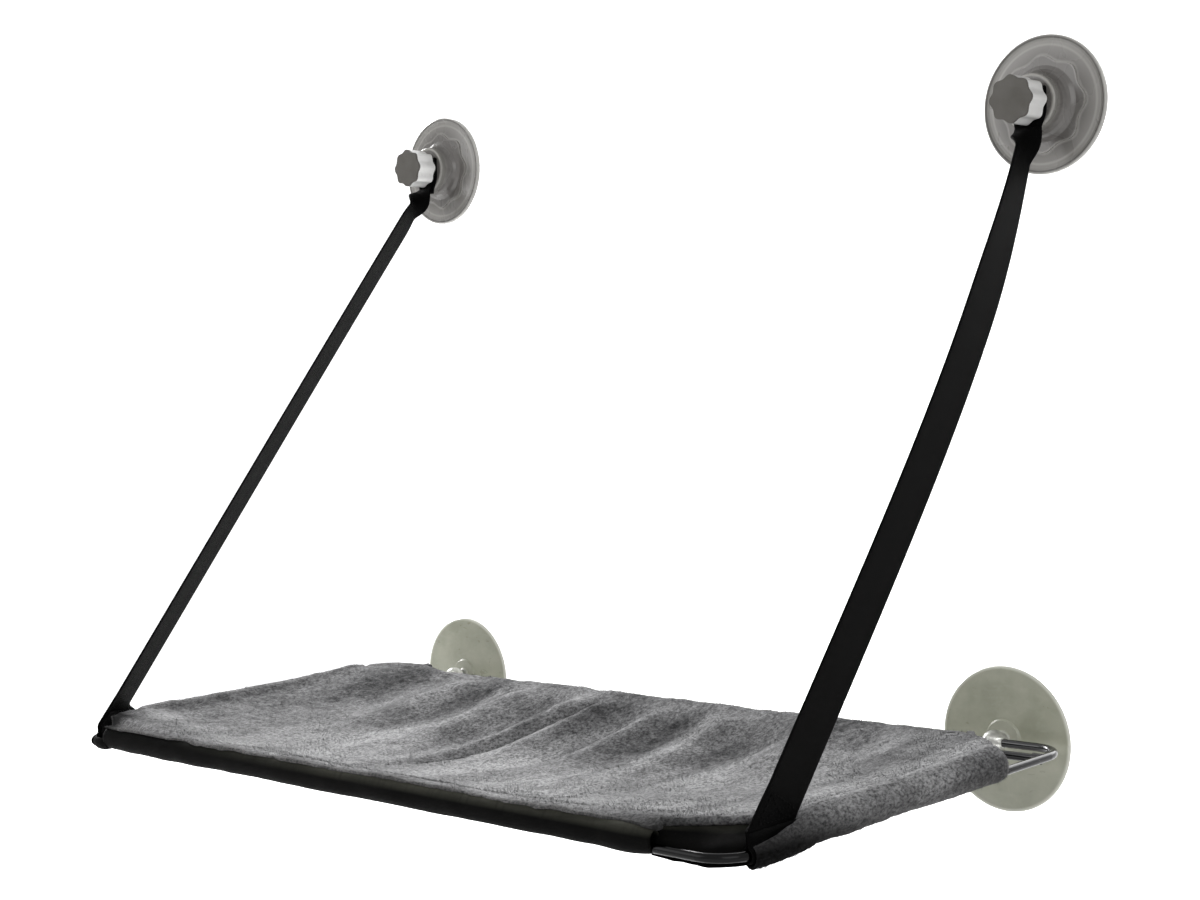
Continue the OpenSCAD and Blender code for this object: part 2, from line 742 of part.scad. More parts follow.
module front_sleeve() {
    color([0.12, 0.12, 0.11])
    on_frame()
        translate([front_sleeve_left - frame_w / 2, -frame_depth, 0])
            rotate([90, 0, 90])
                linear_extrude(frame_w - front_sleeve_left - front_sleeve_right)
                    sleeve_outline(front_sleeve_w, front_sleeve_h, front_sleeve_up);
}

module rear_sleeve() {
    color([0.42, 0.42, 0.44])
    on_frame()
        translate([-rear_sleeve_half, -cross_rail_gap, 0])
            rotate([90, 0, 90])
                linear_extrude(2 * rear_sleeve_half)
                    sleeve_outline(rear_sleeve_w, rear_sleeve_h, rear_sleeve_up);
}

module side_sleeve(side) {
    front_end = side < 0 ? sleeve_front_left : sleeve_front_right;
    color([0.42, 0.42, 0.44])
    on_frame()
        translate([side * frame_w / 2, -side_sleeve_rear, 0])
            rotate([90, 0, 0])
                linear_extrude(frame_depth - side_sleeve_rear - front_end)
                    sleeve_outline(side_sleeve_w, side_sleeve_h, side_sleeve_up);
}

upper_cup(stud_x(-1), upper_left_z);  // upper_cup_left
upper_cup(stud_x(1), upper_right_z);  // upper_cup_right
upper_stud(stud_x(-1), upper_left_z);  // upper_stud_left
upper_stud(stud_x(1), upper_right_z);  // upper_stud_right
strap_tab(stud_x(-1), upper_left_z, gather_w(-1));  // strap_tab_left
strap_tab(stud_x(1), upper_right_z, gather_w(1));  // strap_tab_right
strap_run(-1);  // strap_run_left
strap_run(1);  // strap_run_right
strap_loop(-1);  // strap_loop_left
strap_loop(1);  // strap_loop_right
clamp_washer(stud_x(-1), upper_left_z);  // clamp_washer_left
clamp_washer(stud_x(1), upper_right_z);  // clamp_washer_right
knob(stud_x(-1), upper_left_z);  // knob_left
knob(stud_x(1), upper_right_z);  // knob_right
knob_insert(stud_x(-1), upper_left_z);  // knob_insert_left
knob_insert(stud_x(1), upper_right_z);  // knob_insert_right
knob_cap(stud_x(-1), upper_left_z);  // knob_cap_left
knob_cap(stud_x(1), upper_right_z);  // knob_cap_right
lower_cup(lower_left_x - frame_w / 2);  // lower_cup_left
lower_cup(frame_w / 2 - lower_right_x);  // lower_cup_right
frame_loop();
cross_rail();
cover_panel();
cover_lining();
front_sleeve();
rear_sleeve();
side_sleeve(-1);  // side_sleeve_left
side_sleeve(1);  // side_sleeve_right
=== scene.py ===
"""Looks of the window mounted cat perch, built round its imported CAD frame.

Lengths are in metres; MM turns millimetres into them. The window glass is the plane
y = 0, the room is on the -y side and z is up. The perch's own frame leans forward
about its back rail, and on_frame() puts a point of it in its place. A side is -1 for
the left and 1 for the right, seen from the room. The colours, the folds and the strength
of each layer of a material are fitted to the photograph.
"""
import math

import bpy
import numpy as np
from mathutils import Matrix, Euler, Vector, noise


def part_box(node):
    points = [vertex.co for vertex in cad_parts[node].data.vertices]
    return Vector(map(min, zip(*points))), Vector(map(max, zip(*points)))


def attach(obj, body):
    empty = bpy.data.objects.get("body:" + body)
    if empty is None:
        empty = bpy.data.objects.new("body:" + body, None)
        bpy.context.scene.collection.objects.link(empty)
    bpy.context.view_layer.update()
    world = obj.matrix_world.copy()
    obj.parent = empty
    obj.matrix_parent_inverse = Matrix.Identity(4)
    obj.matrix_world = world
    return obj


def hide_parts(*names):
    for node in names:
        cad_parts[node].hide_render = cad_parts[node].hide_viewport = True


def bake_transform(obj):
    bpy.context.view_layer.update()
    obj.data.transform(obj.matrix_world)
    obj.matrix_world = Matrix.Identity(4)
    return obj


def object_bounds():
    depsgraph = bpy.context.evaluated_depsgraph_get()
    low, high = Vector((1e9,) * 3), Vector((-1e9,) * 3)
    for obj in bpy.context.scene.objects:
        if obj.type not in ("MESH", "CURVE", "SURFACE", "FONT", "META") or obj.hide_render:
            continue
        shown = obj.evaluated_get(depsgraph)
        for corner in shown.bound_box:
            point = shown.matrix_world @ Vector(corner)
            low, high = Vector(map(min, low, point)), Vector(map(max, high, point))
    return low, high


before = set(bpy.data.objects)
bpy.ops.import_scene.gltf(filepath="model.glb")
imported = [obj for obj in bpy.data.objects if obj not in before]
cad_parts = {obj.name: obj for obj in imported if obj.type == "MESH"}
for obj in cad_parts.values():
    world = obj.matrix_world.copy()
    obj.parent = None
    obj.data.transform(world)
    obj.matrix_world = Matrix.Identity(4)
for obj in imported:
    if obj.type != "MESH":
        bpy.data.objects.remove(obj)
CAD_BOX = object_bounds()
MM = 0.001
SIDES = ((-1, "left"), (1, "right"))

# ---------------- sizes, as in the CAD
FRAME_W = 620 * MM
FRAME_DEPTH = 336 * MM
FRONT_DROP = 8 * MM
BEND_R = 22 * MM
WIRE_R = 2.75 * MM
CROSS_RAIL = 31 * MM
STANDOFF = 16 * MM
LEAN = math.asin(FRONT_DROP / FRAME_DEPTH)
BEND_HALF = BEND_R * math.pi / 4

BOSS_H = 20 * MM
CUP_WAVES = 8
CUP_WAVE_DEPTH = 1.6 * MM
STUD = {-1: (-292 * MM, 433 * MM), 1: (295 * MM, 417 * MM)}

# The strap: its tab on the stud, its bowed and twisted run, and its loop on the wire
STRAP_W = 30 * MM
STRAP_T = 1.6 * MM
TAB_W = 24 * MM
TAB_TOP = 9 * MM
TAB_FOLD = 21 * MM
TAB_DROP = 16.5 * MM
BOW = {-1: 1 * MM, 1: 14 * MM}
LOOP_AT = {-1: 15 * MM, 1: 31 * MM}
TWIST = {-1: math.radians(129), 1: math.radians(92)}
GATHER_W = {-1: 14 * MM, 1: 18 * MM}
GATHER = {-1: 0.08, 1: 0.3}
TAPER_L = 6 * MM
TWIST_SHARE = 0.05
LANDING_SHARE = 0.96
BOW_SKEW = 0.5
NECK_H = 7 * MM
WIRE_BORE_R = WIRE_R + 0.3 * MM
LOOP_TOP = WIRE_BORE_R + STRAP_T + NECK_H
LANDING_GAP = 0.7 * MM
LOOP_L = STRAP_W * math.hypot(FRAME_DEPTH, STUD[1][1]) / STUD[1][1]
LOOP_SLACK = {-1: 1.5, 1: 1.1}

# The cover: its panel, measured from the back rail, and its rolls as (half width,
# half height, height of the middle above the rail)
PLUSH_T = 4.5 * MM
REAR_EDGE_H = 9 * MM
FRONT_EDGE_H = 7.5 * MM
SIDE_EDGE_H = 4 * MM
SAG = 22 * MM
PANEL_REAR = 40.3 * MM
PANEL_FRONT = 330.7 * MM
PANEL_HALF = 299.7 * MM
SIDE_ROLL = (10 * MM, 11 * MM, 6.4 * MM)
REAR_ROLL = (9 * MM, 9 * MM, 2 * MM)
REAR_HALF = 262 * MM
SIDE_REAR = 78 * MM
SIDE_FRONT = {-1: FRAME_DEPTH - 40 * MM, 1: FRAME_DEPTH - 56 * MM}
FRONT_ENDS = {-1: -284 * MM, 1: 258 * MM}
FRONT_TUBE = (5.2 * MM, 7.9 * MM, 3.6 * MM)


# ---------------- small mathematics
def mix(a, b, t):
    """From a at 0 to b at 1."""
    return a + (b - a) * t


def smooth(t):
    """From 0 to 1 without a kink, and level beyond both."""
    t = np.clip(t, 0, 1)
    return t * t * (3 - 2 * t)


def unit(v):
    v = np.asarray(v, float)
    return v / np.maximum(np.linalg.norm(v, axis=-1, keepdims=True), 1e-12)


def on_frame(p):
    """Turn points of the level frame into the hung frame's place."""
    p = np.asarray(p, float)
    y = p[..., 1] * math.cos(LEAN) - p[..., 2] * math.sin(LEAN) - STANDOFF
    z = p[..., 1] * math.sin(LEAN) + p[..., 2] * math.cos(LEAN)
    return np.stack([p[..., 0], y, z], axis=-1)


def lumps(points, size, depth=2, seed=0.0):
    """Smooth noise from about -1 to 1 at each point, with lumps of that size."""
    points = np.asarray(points)
    shift = Vector((seed, seed * 1.7, -seed))
    return np.array([
        noise.fractal(Vector(p) / size + shift, 1.0, 2.0, depth)
        for p in points.reshape(-1, 3)
    ]).reshape(points.shape[:-1])


# ---------------- materials
class Nodes:
    """Shader nodes that are put together one at a time."""

    def __init__(self, tree):
        self.nodes, self.links = tree.nodes, tree.links

    def put(self, socket, value):
        """Link an input to another node's output, or give it a plain value."""
        if isinstance(value, bpy.types.NodeSocket):
            self.links.new(value, socket)
        else:
            socket.default_value = value

    def add(self, kind, inputs=(), **settings):
        node = self.nodes.new("ShaderNode" + kind)
        for key, value in settings.items():
            setattr(node, key, value)
        for key, value in dict(inputs).items():
            self.put(node.inputs[key], value)
        return node

    def math(self, operation, a, b=0.0):
        return self.add("Math", {0: a, 1: b}, operation=operation).outputs[0]

    def vector(self, operation, a, b=(0, 0, 0)):
        return self.add("VectorMath", {0: a, 1: b}, operation=operation).outputs

    def product(self, a, b):
        return self.math("MULTIPLY", a, b)

    def largest(self, first, *others):
        for other in others:
            first = self.math("MAXIMUM", first, other)
        return first

    def looking_rays(self):
        """1 for rays that look at the room, straight or by way of a shiny or clear
        piece, and 0 for the rays that light it."""
        path = self.add("LightPath").outputs
        return self.largest(*(path[f"Is {kind} Ray"]
                              for kind in ("Camera", "Glossy", "Transmission")))


class Shader(Nodes):
    """A material with one principled surface."""

    def __init__(self, name):
        self.material = bpy.data.materials.new(name)
        self.material.use_nodes = True
        super().__init__(self.material.node_tree)
        self.surface = self.nodes["Principled BSDF"]

    def set(self, **values):
        """Set inputs of the surface, with _ for the blanks in their names."""
        for key, value in values.items():
            self.put(self.surface.inputs[key.replace("_", " ")], value)

    def spot(self):
        return self.add("TexCoord").outputs["Object"]

    def place(self, stretch=(1, 1, 1), at=None):
        """A vector, or else the object coordinates, scaled along each axis."""
        at = self.spot() if at is None else at
        return self.add("Mapping", {"Vector": at, "Scale": stretch}).outputs[0]

    def uv(self, stretch=(1, 1, 1)):
        return self.place(stretch, self.add("UVMap").outputs["UV"])

    def axes(self, at=None):
        """The x, y and z of a vector, or else of the object coordinates."""
        at = self.spot() if at is None else at
        return self.add("SeparateXYZ", {"Vector": at}).outputs

    def noise(self, at, size, detail=3.0, rough=0.55, distort=0.0):
        """Noise from 0 to 1 with grains of that size."""
        return self.add("TexNoise", {
            "Vector": at, "Scale": 1 / size, "Detail": detail,
            "Roughness": rough, "Distortion": distort}).outputs["Fac"]

    def wave(self, at, length, direction):
        """Bands from 0 to 1 and back, with that length from one to the next."""
        return self.add("TexWave", {"Vector": at, "Scale": math.pi / (10 * length)},
                        bands_direction=direction).outputs["Fac"]

    def fit(self, value, low, high, to_low=0.0, to_high=1.0):
        """Carry one range of values over to another, and stay within it."""
        return self.add("MapRange", {"Value": value, "From Min": low, "From Max": high,
                                     "To Min": to_low, "To Max": to_high}).outputs[0]

    def paint(self, colour, *layers):
        """Lay (share, colour) layers over a colour, one after another."""
        for share, layer in layers:
            node = self.add("Mix", data_type="RGBA")
            for key, value in ((0, share), (6, colour), (7, layer)):
                self.put(node.inputs[key], value)
            colour = node.outputs[2]
        return colour

    def bump(self, height, depth, strength=1.0, under=None):
        inputs = {"Height": height, "Distance": depth, "Strength": strength}
        if under is not None:
            inputs["Normal"] = under
        return self.add("Bump", inputs).outputs["Normal"]


def rgb(r, g, b):
    """A colour given as it looks on a screen, from 0 to 255."""
    def linear(v):
        v = v / 255
        return v / 12.92 if v <= 0.04045 else ((v + 0.055) / 1.055) ** 2.4
    return (linear(r), linear(g), linear(b), 1.0)


def grey(value):
    return rgb(value, value, value)


def dim(colour, share):
    return tuple(c * share for c in colour[:3]) + (1,)


def ring_distance(s, centre, wave_depth=0.0):
    """Distance from a cup's axis for the rings of its disc, which are round or wavy."""
    x, z = centre
    flat = s.vector("SUBTRACT", s.spot(), (x, 0, z))[0]
    flat = s.vector("MULTIPLY", flat, (1, 0, 1))[0]
    radius = s.vector("LENGTH", flat)["Value"]
    if not wave_depth:
        return radius
    x, _, z = s.axes(flat)
    turn = s.product(s.math("ARCTAN2", z, x), float(CUP_WAVES))
    return s.math("SUBTRACT", radius, s.product(s.math("COSINE", turn), wave_depth))


def band(s, value, middle, half, strength=1.0):
    """A ring that falls from its full strength at the middle to 0 at half its width."""
    off = s.math("ABSOLUTE", s.math("SUBTRACT", value, middle))
    return s.fit(off, 0, half, strength, 0)


def upper_cup_plastic(name, centre):
    """Cloudy soft plastic: a darker disc that grows paler outwards, with painted highlights
    as pale rings at the boss, the wavy ring and the outer ring and on the rim, and a
    painted shade line just inside the rim.
    """
    s = Shader(name)
    at = s.place()
    radius = ring_distance(s, centre)
    wavy = ring_distance(s, centre, CUP_WAVE_DEPTH)
    cloud = s.noise(at, 34 * MM, 3)
    flow = s.noise(s.place((1, 1, 0.6)), 15 * MM, 2, 0.5, 0.5)
    fine = s.noise(at, 1.6 * MM, 2)
    body = s.paint(
        rgb(104, 101, 98),
        (s.fit(cloud, 0.35, 0.7), rgb(116, 113, 110)),
        (s.fit(radius, 30 * MM, 41 * MM, 0, 0.8), rgb(154, 152, 148)),
        (s.fit(flow, 0.48, 0.75, 0, 0.12), rgb(150, 148, 143)),
        # Painted highlights: pale bands at the boss, the wavy ring and the outer ring
        (band(s, radius, 17.5 * MM, 1.6 * MM), rgb(176, 174, 168)),
        (band(s, wavy, 30.2 * MM, 1.6 * MM, 0.6), rgb(178, 176, 171)),
        (band(s, radius, 38.4 * MM, 1.2 * MM, 0.55), rgb(182, 180, 175)),
        # Painted shade line just inside the rim, then a painted highlight on the rim
        (band(s, radius, 43.2 * MM, 0.9 * MM), rgb(88, 86, 83)),
        (s.fit(radius, 44.0 * MM, 44.6 * MM), rgb(190, 189, 184)))
    s.set(Base_Color=body, Roughness=s.fit(flow, 0.3, 0.8, 0.24, 0.34), IOR=1.46,
          Transmission_Weight=0.05, Coat_Weight=0.15, Coat_Roughness=0.15,
          Normal=s.bump(fine, 0.04 * MM, 0.3, s.bump(cloud, 0.5 * MM, 0.15)))
    return s.material


def lower_cup_plastic(name, centre):
    """Greenish grey soft disc with a rim painted pale, a painted highlight for the light
    through its clear edge, and a clearer nub with bright edges.
    """
    s = Shader(name)
    radius = ring_distance(s, centre)
    nub = s.fit(s.axes()["Y"], -5.2 * MM, -7.5 * MM)
    cloud = s.noise(s.place(), 26 * MM, 4, 0.6)
    flow = s.noise(s.place((0.5, 1, 1)), 6 * MM, 4, 0.6, 0.8)
    body = s.paint(
        rgb(150, 152, 134),
        (s.fit(cloud, 0.35, 0.68), rgb(170, 171, 154)),
        (s.fit(flow, 0.5, 0.8, 0, 0.35), rgb(182, 184, 168)),
        # Painted highlight: the clear rim painted pale
        (s.fit(radius, 46.2 * MM, 48.2 * MM), rgb(222, 223, 212)),
        (nub, rgb(240, 240, 236)))
    s.set(Base_Color=body, Roughness=s.fit(flow, 0.3, 0.8, 0.26, 0.42), IOR=1.45,
          Transmission_Weight=s.fit(nub, 0, 1, 0.05, 0.75), Coat_Weight=0.2,
          Coat_Roughness=0.1,
          Normal=s.bump(flow, 0.2 * MM, 0.3, s.bump(cloud, 0.6 * MM, 0.2)))
    return s.material


def metal(name, base, rough, grain, stretch, under_shade=1.0):
    """Plated or machined metal with drawn marks along one direction. The underside of
    a wire that lies level in the frame can get a painted shade, darkened to that share."""
    s = Shader(name)
    marks = s.noise(s.place(stretch), grain, 4, 0.6)
    blotch = s.noise(s.place(), 12 * MM, 3)
    layers = [(s.fit(blotch, 0.35, 0.75), dim(base, 0.76))]
    # Painted shade: darker towards the underside of a level wire
    if under_shade < 1:
        layers.append((s.fit(s.axes()["Z"], 1.4 * MM, -1.6 * MM), dim(base, under_shade)))
    s.set(Base_Color=s.paint(base, *layers), Metallic=1.0,
          Roughness=s.fit(marks, 0.3, 0.75, rough * 0.75, rough * 1.5),
          Normal=s.bump(marks, 0.02 * MM, 0.35))
    return s.material


def moulded(name, base, tint, rough, gloss, grain_depth):
    """Moulded plastic with a fine grain, and edges that are rubbed paler."""
    s = Shader(name)
    at = s.place()
    grain = s.noise(at, 0.7 * MM, 2)
    cloud = s.noise(at, 14 * MM, 3)
    edge = s.add("NewGeometry").outputs["Pointiness"]
    pale = tuple(min(1, c * 1.35 + 0.02) for c in base[:3]) + (1,)
    body = s.paint(base, (s.fit(cloud, 0.3, 0.75), tint),
                   (s.fit(edge, 0.51, 0.56, 0, 0.6), pale))
    s.set(Base_Color=body, Roughness=s.fit(cloud, 0.3, 0.75, rough * 0.85, rough * 1.2),
          Coat_Weight=gloss, Coat_Roughness=0.12, Normal=s.bump(grain, grain_depth, 0.5))
    return s.material


def plush(name, gain):
    """Short crushed pile: fine fibres, tufts, streaks where the nap lies over, and painted
    light and shade that follow the place on the bed: lighter towards the front, painted
    shade at the rear, on the left slope, at the front lip, under the side rolls and at the
    front corners beside the straps."""
    s = Shader(name)
    x, y, z = s.axes()

    def tone(value):
        return rgb(value * gain, value * gain, value * gain + 1)

    def rise(axis, low, high, share=1.0):
        """From 0 to a share between two places, which are in millimetres."""
        return s.fit(axis, low * MM, high * MM, 0, share)

    fibre = s.noise(s.place((1, 0.6, 1)), 1.7 * MM, 4, 0.7)
    tuft = s.noise(s.place((1, 0.6, 1)), 4.2 * MM, 3, 0.6)
    lay = s.noise(s.place((1, 0.34, 1)), 34 * MM, 4, 0.54, 0.4)
    broad = s.noise(s.place(), 85 * MM, 2)
    # Painted light and shade by place: lighter towards the front, darker towards the rear
    front, rear = rise(y, -60, -220, 0.55), rise(y, -170, -50, 0.5)
    # Painted shade on the inner slope along the left side
    left_slope_shade = s.product(rise(x, -205, -262, 0.6), rise(y, -318, -285))
    # Painted shade at the front lip's edge and low on the outer faces of the side rolls
    outside = rise(s.math("ABSOLUTE", x), 300, 308)
    shade = s.largest(rise(y, -345, -352, 0.65), s.product(outside, rise(z, 9, -9, 0.7)))
    # Painted shade, near black, at the right roll's front end, at the plush's left end and
    # at the right lip, beside the straps
    roll_end_shade = s.product(s.product(rise(x, 286, 300), rise(y, -190, -305)),
                         s.fit(z, 8 * MM, -6 * MM, 0.2, 1))
    left_end_shade = s.product(rise(x, -258, -280), rise(y, -325, -338, 0.92))
    right_lip_shade = s.product(rise(x, 190, 262), rise(y, -312, -341, 0.8))
    corner_shades = s.largest(roll_end_shade, left_end_shade, right_lip_shade)
    body = s.paint(
        tone(52), (s.fit(lay, 0.39, 0.6), tone(188)), (front, tone(186)),
        (s.fit(broad, 0.42, 0.66, 0, 0.4), tone(76)), (rear, tone(50)),
        (left_slope_shade, tone(54)),
        (s.fit(tuft, 0.36, 0.7, 0, 0.36), tone(186)),
        (s.fit(tuft, 0.46, 0.26, 0, 0.4), tone(56)),
        (shade, rgb(56, 53, 50)), (corner_shades, rgb(12, 12, 11)),
        (s.fit(fibre, 0.36, 0.62, 0.8, 0), tone(32)))
    # The sheen fades where the corners are painted in shade
    s.set(Base_Color=body, Roughness=0.95, Specular_IOR_Level=0.04,
          Sheen_Weight=s.fit(corner_shades, 0, 0.9, 0.22, 0), Sheen_Roughness=0.4,
          Sheen_Tint=rgb(225, 225, 226),
          Normal=s.bump(fibre, 0.7 * MM, 0.5, s.bump(tuft, 1.2 * MM, 0.45)))
    return s.material


def plain_weave(name, base, light, pitch, rough, gloss, top=None):
    """Plain woven cloth: crossing threads, slubs and a faint mottle. Between the two
    heights of its top it gets a painted olive grey highlight, more so towards the right."""
    s = Shader(name)
    at = s.uv()
    threads = s.largest(s.wave(at, pitch, "X"), s.wave(at, pitch * 1.1, "Y"))
    slub = s.noise(s.uv((1, 0.12, 1)), 3 * MM, 3)
    mottle = s.noise(s.place(), 18 * MM, 3)
    layers = [(s.fit(mottle, 0.35, 0.7), light)]
    # Painted highlight along the top, olive grey and streaked
    if top:
        x, _, z = s.axes()
        highlight_streaks = s.fit(s.noise(s.place((0.12, 1, 1)), 7 * MM, 3), 0.3, 0.7, 0.5, 1)
        along = s.fit(x, -190 * MM, -10 * MM)
        layers.append((s.product(s.product(s.fit(z, *top), highlight_streaks), along), rgb(88, 88, 80)))
    layers += [(s.fit(threads, 0.2, 0.9, 0.5, 0), (0.002, 0.002, 0.002, 1)),
               (s.fit(slub, 0.5, 0.8, 0, 0.35), light)]
    s.set(Base_Color=s.paint(base, *layers), Specular_IOR_Level=gloss,
          Roughness=s.fit(threads, 0, 1, rough * 1.3, rough),
          Normal=s.bump(threads, 0.12 * MM, 0.6, s.bump(mottle, 0.8 * MM, 0.3)))
    return s.material


def webbing(name):
    """Black webbing: fine warp ribs crossed by picks, and places worn a little paler."""
    s = Shader(name)
    at = s.uv()
    rib = s.wave(at, 0.625 * MM, "X")
    shift = s.add("CombineXYZ", {"Y": s.product(rib, 0.9 * MM)}).outputs[0]
    pick = s.wave(s.vector("ADD", at, shift)[0], 0.9 * MM, "Y")
    weave = s.product(s.fit(rib, 0, 1, 0.35, 1), s.fit(pick, 0, 1, 0.4, 1))
    worn = s.noise(s.uv((1, 0.25, 1)), 7 * MM, 4, 0.6)
    body = s.paint(grey(3), (s.fit(weave, 0.1, 1), grey(9)),
                   (s.fit(worn, 0.5, 0.85, 0, 0.5), grey(13)))
    s.set(Base_Color=body, Roughness=s.fit(weave, 0, 1, 0.8, 0.5),
          Specular_IOR_Level=0.02, Normal=s.bump(weave, 0.25 * MM, 0.7))
    return s.material


def thread(name, base, light, gloss):
    """Sewing thread: a twist of plies across each stitch."""
    s = Shader(name)
    ply = s.noise(s.place(), 0.4 * MM, 2)
    s.set(Base_Color=s.paint(base, (s.fit(ply, 0.35, 0.7), light)), Roughness=0.6,
          Specular_IOR_Level=gloss, Normal=s.bump(ply, 0.1 * MM, 0.6))
    return s.material


ZINC = metal("zinc_plate", (0.62, 0.62, 0.63, 1), 0.32, 1.2 * MM, (1, 0.2, 1))
# The wire's underside gets a painted shade, down to 0.2 of its colour
CHROME = metal("bright_wire", (0.06, 0.06, 0.061, 1), 0.17, 0.6 * MM, (0.1, 0.1, 1), 0.2)
BRASS = metal("machined_brass", (0.62, 0.44, 0.17, 1), 0.3, 0.5 * MM, (1, 0.1, 1))
KNOB_SKIN = moulded("knob_skin", rgb(226, 225, 221), rgb(214, 213, 208), 0.24, 0.6,
                    0.05 * MM)
KNOB_FACE = moulded("knob_face", rgb(68, 65, 60), rgb(59, 57, 52), 0.6, 0.0, 0.12 * MM)
PLUSH = plush("grey_plush", 1.0)
PILE = plush("grey_pile_tips", 1.15)
LINING = plain_weave("lining_weave", grey(40), grey(54), 0.3 * MM, 0.7, 0.1)
# The front sleeve and the corner hems get a painted highlight along their tops
TUBE_CLOTH = plain_weave("front_sleeve_weave", grey(7), rgb(13, 13, 12), 0.225 * MM,
                         0.5, 0.015, (-2 * MM, 3.5 * MM))
HEM_CLOTH = plain_weave("corner_hem_weave", grey(8), rgb(15, 15, 14), 0.225 * MM,
                        0.6, 0.02, (1 * MM, 6 * MM))
WEBBING = webbing("black_webbing")
DARK_THREAD = thread("dark_thread", grey(6), grey(13), 0.03)
GREY_THREAD = thread("grey_thread", rgb(70, 70, 72), rgb(110, 110, 112), 0.3)


# ---------------- meshes
def mesh_object(name, points, faces, material, uvs=None):
    """Smooth shaded piece in the scene, with one UV pair to a point if they're given."""
    mesh = bpy.data.meshes.new(name)
    mesh.from_pydata([tuple(p) for p in points], [], [tuple(f) for f in faces])
    mesh.materials.append(material)
    if uvs is not None:
        layer = mesh.uv_layers.new(name="UVMap")
        corner = np.zeros(len(mesh.loops), int)
        mesh.loops.foreach_get("vertex_index", corner)
        layer.data.foreach_set("uv", np.asarray(uvs, float)[corner].ravel())
    mesh.polygons.foreach_set("use_smooth", [True] * len(mesh.polygons))
    mesh.update()
    piece = bpy.data.objects.new(name, mesh)
    bpy.context.scene.collection.objects.link(piece)
    return piece


def grid_normals(grid):
    """Normals of a grid of points, from its rows and columns."""
    return unit(np.cross(np.gradient(grid, axis=0), np.gradient(grid, axis=1)))


def arc_lengths(grid, axis):
    """How far each point of a grid lies along its row or column."""
    steps = np.linalg.norm(np.diff(grid, axis=axis), axis=-1)
    start = np.zeros_like(np.take(steps, [0], axis=axis))
    return np.concatenate([start, np.cumsum(steps, axis=axis)], axis=axis)


def ring_faces(rows, count, first=0):
    """Faces of a closed body through rings of points that follow each other in a mesh."""
    faces = [(first + r * count + c, first + r * count + (c + 1) % count,
              first + (r + 1) * count + (c + 1) % count, first + (r + 1) * count + c)
             for r in range(rows - 1) for c in range(count)]
    last = first + (rows - 1) * count
    faces.append(tuple(range(first, first + count))[::-1])
    faces.append(tuple(range(last, last + count)))
    return faces


def ribbon(name, middle, thickness, material, edge_points=4, belly=0.94, woven=0.86):
    """A closed band round a grid of points of its middle layer, with round edges.

    Rows run along the band and columns across it. Between its woven edges, which begin
    at that share of the half width, the band has the belly's share of its thickness."""
    rows, cols, _ = middle.shape
    normal = grid_normals(middle)
    across = unit(np.gradient(middle, axis=1))
    half = thickness / 2
    u = np.linspace(-1, 1, cols)[:, None]
    depth = half * np.where(np.abs(u) > woven, 1.0, belly)
    front, back = middle + normal * depth, middle - normal * depth
    turns = np.linspace(0, math.pi, edge_points + 2)[1:-1]

    def rim(col, reach):
        up, out = normal[:, col], across[:, col]
        return [middle[:, col] + reach * (math.cos(a) * up + math.sin(a) * out)
                for a in turns]

    ring = np.stack([*front.swapaxes(0, 1), *rim(-1, half),
                     *back.swapaxes(0, 1)[::-1], *rim(0, -half)], 1)
    count = ring.shape[1]
    width = arc_lengths(ring, 1)
    length = arc_lengths(middle, 0)[:, cols // 2]
    uvs = np.stack([width, np.repeat(length[:, None], count, 1)], -1)
    return mesh_object(name, ring.reshape(-1, 3), ring_faces(rows, count), material,
                       uvs.reshape(-1, 2))


def at_length(values, along, place):
    """The values that a line of points has at some length along it."""
    return np.array([np.interp(place, along, column) for column in values.T])


def stitches(name, lines, material, pitch=3.2 * MM, gap=1.0 * MM, radius=0.32 * MM):
    """Short rounded stitches that lie along lines of (point, normal) pairs."""
    points, faces = [], []
    sides = 6
    # Each ring of a stitch: its share of the stitch's length and of the full radius
    shape = ((0.0, 0.25), (0.18, 0.85), (0.5, 1.0), (0.82, 0.85), (1.0, 0.25))
    for line in lines:
        spots = np.array([p for p, _ in line], float)
        ups = unit(np.array([n for _, n in line], float))
        along = arc_lengths(spots, 0)
        count = max(1, int(along[-1] / pitch))
        for k in range(count):
            start = (k + 0.5) * along[-1] / count - (pitch - gap) / 2
            first = len(points)
            for share, fat in shape:
                at = start + share * (pitch - gap)
                spot = at_length(spots, along, at)
                up = unit(at_length(ups, along, at))
                ahead = (at_length(spots, along, at + 0.3 * MM)
                         - at_length(spots, along, at - 0.3 * MM))
                side = unit(np.cross(up, ahead))
                lift = radius * (0.45 * math.sin(math.pi * share) + 0.1)
                for j in range(sides):
                    a = 2 * math.pi * j / sides
                    points.append(spot + up * (lift + radius * fat * math.sin(a))
                                  + side * radius * fat * math.cos(a))
            faces += ring_faces(len(shape), sides, first)
    return mesh_object(name, points, faces, material)


# ---------------- straps
def corner_point(side, distance):
    """Point of the wire near a front corner, by the distance from the bend's middle."""
    centre = np.array([side * (FRAME_W / 2 - BEND_R), BEND_R - FRAME_DEPTH, 0])
    past = distance - min(BEND_HALF, max(-BEND_HALF, distance))
    straight = [0, past, 0] if past > 0 else [side * past, 0, 0]
    return centre + BEND_R * corner_normal(side, distance) + straight


def corner_normal(side, distance):
    """Level direction away from the frame at that point of the wire."""
    turn = min(math.pi / 2, max(0, math.pi / 4 - distance / BEND_R))
    return np.array([side * math.cos(turn), -math.sin(turn), 0])


def landing(side, distance):
    """Where the strap's run comes down on its loop, above that point of the wire."""
    return on_frame(corner_point(side, distance) + [0, 0, LOOP_TOP + LANDING_GAP])


def run_top(side):
    """Middle of the strap where its run leaves the clamped tab."""
    x, z = STUD[side]
    return np.array([x, -BOSS_H - 1.5 * STRAP_T, z - TAB_DROP])


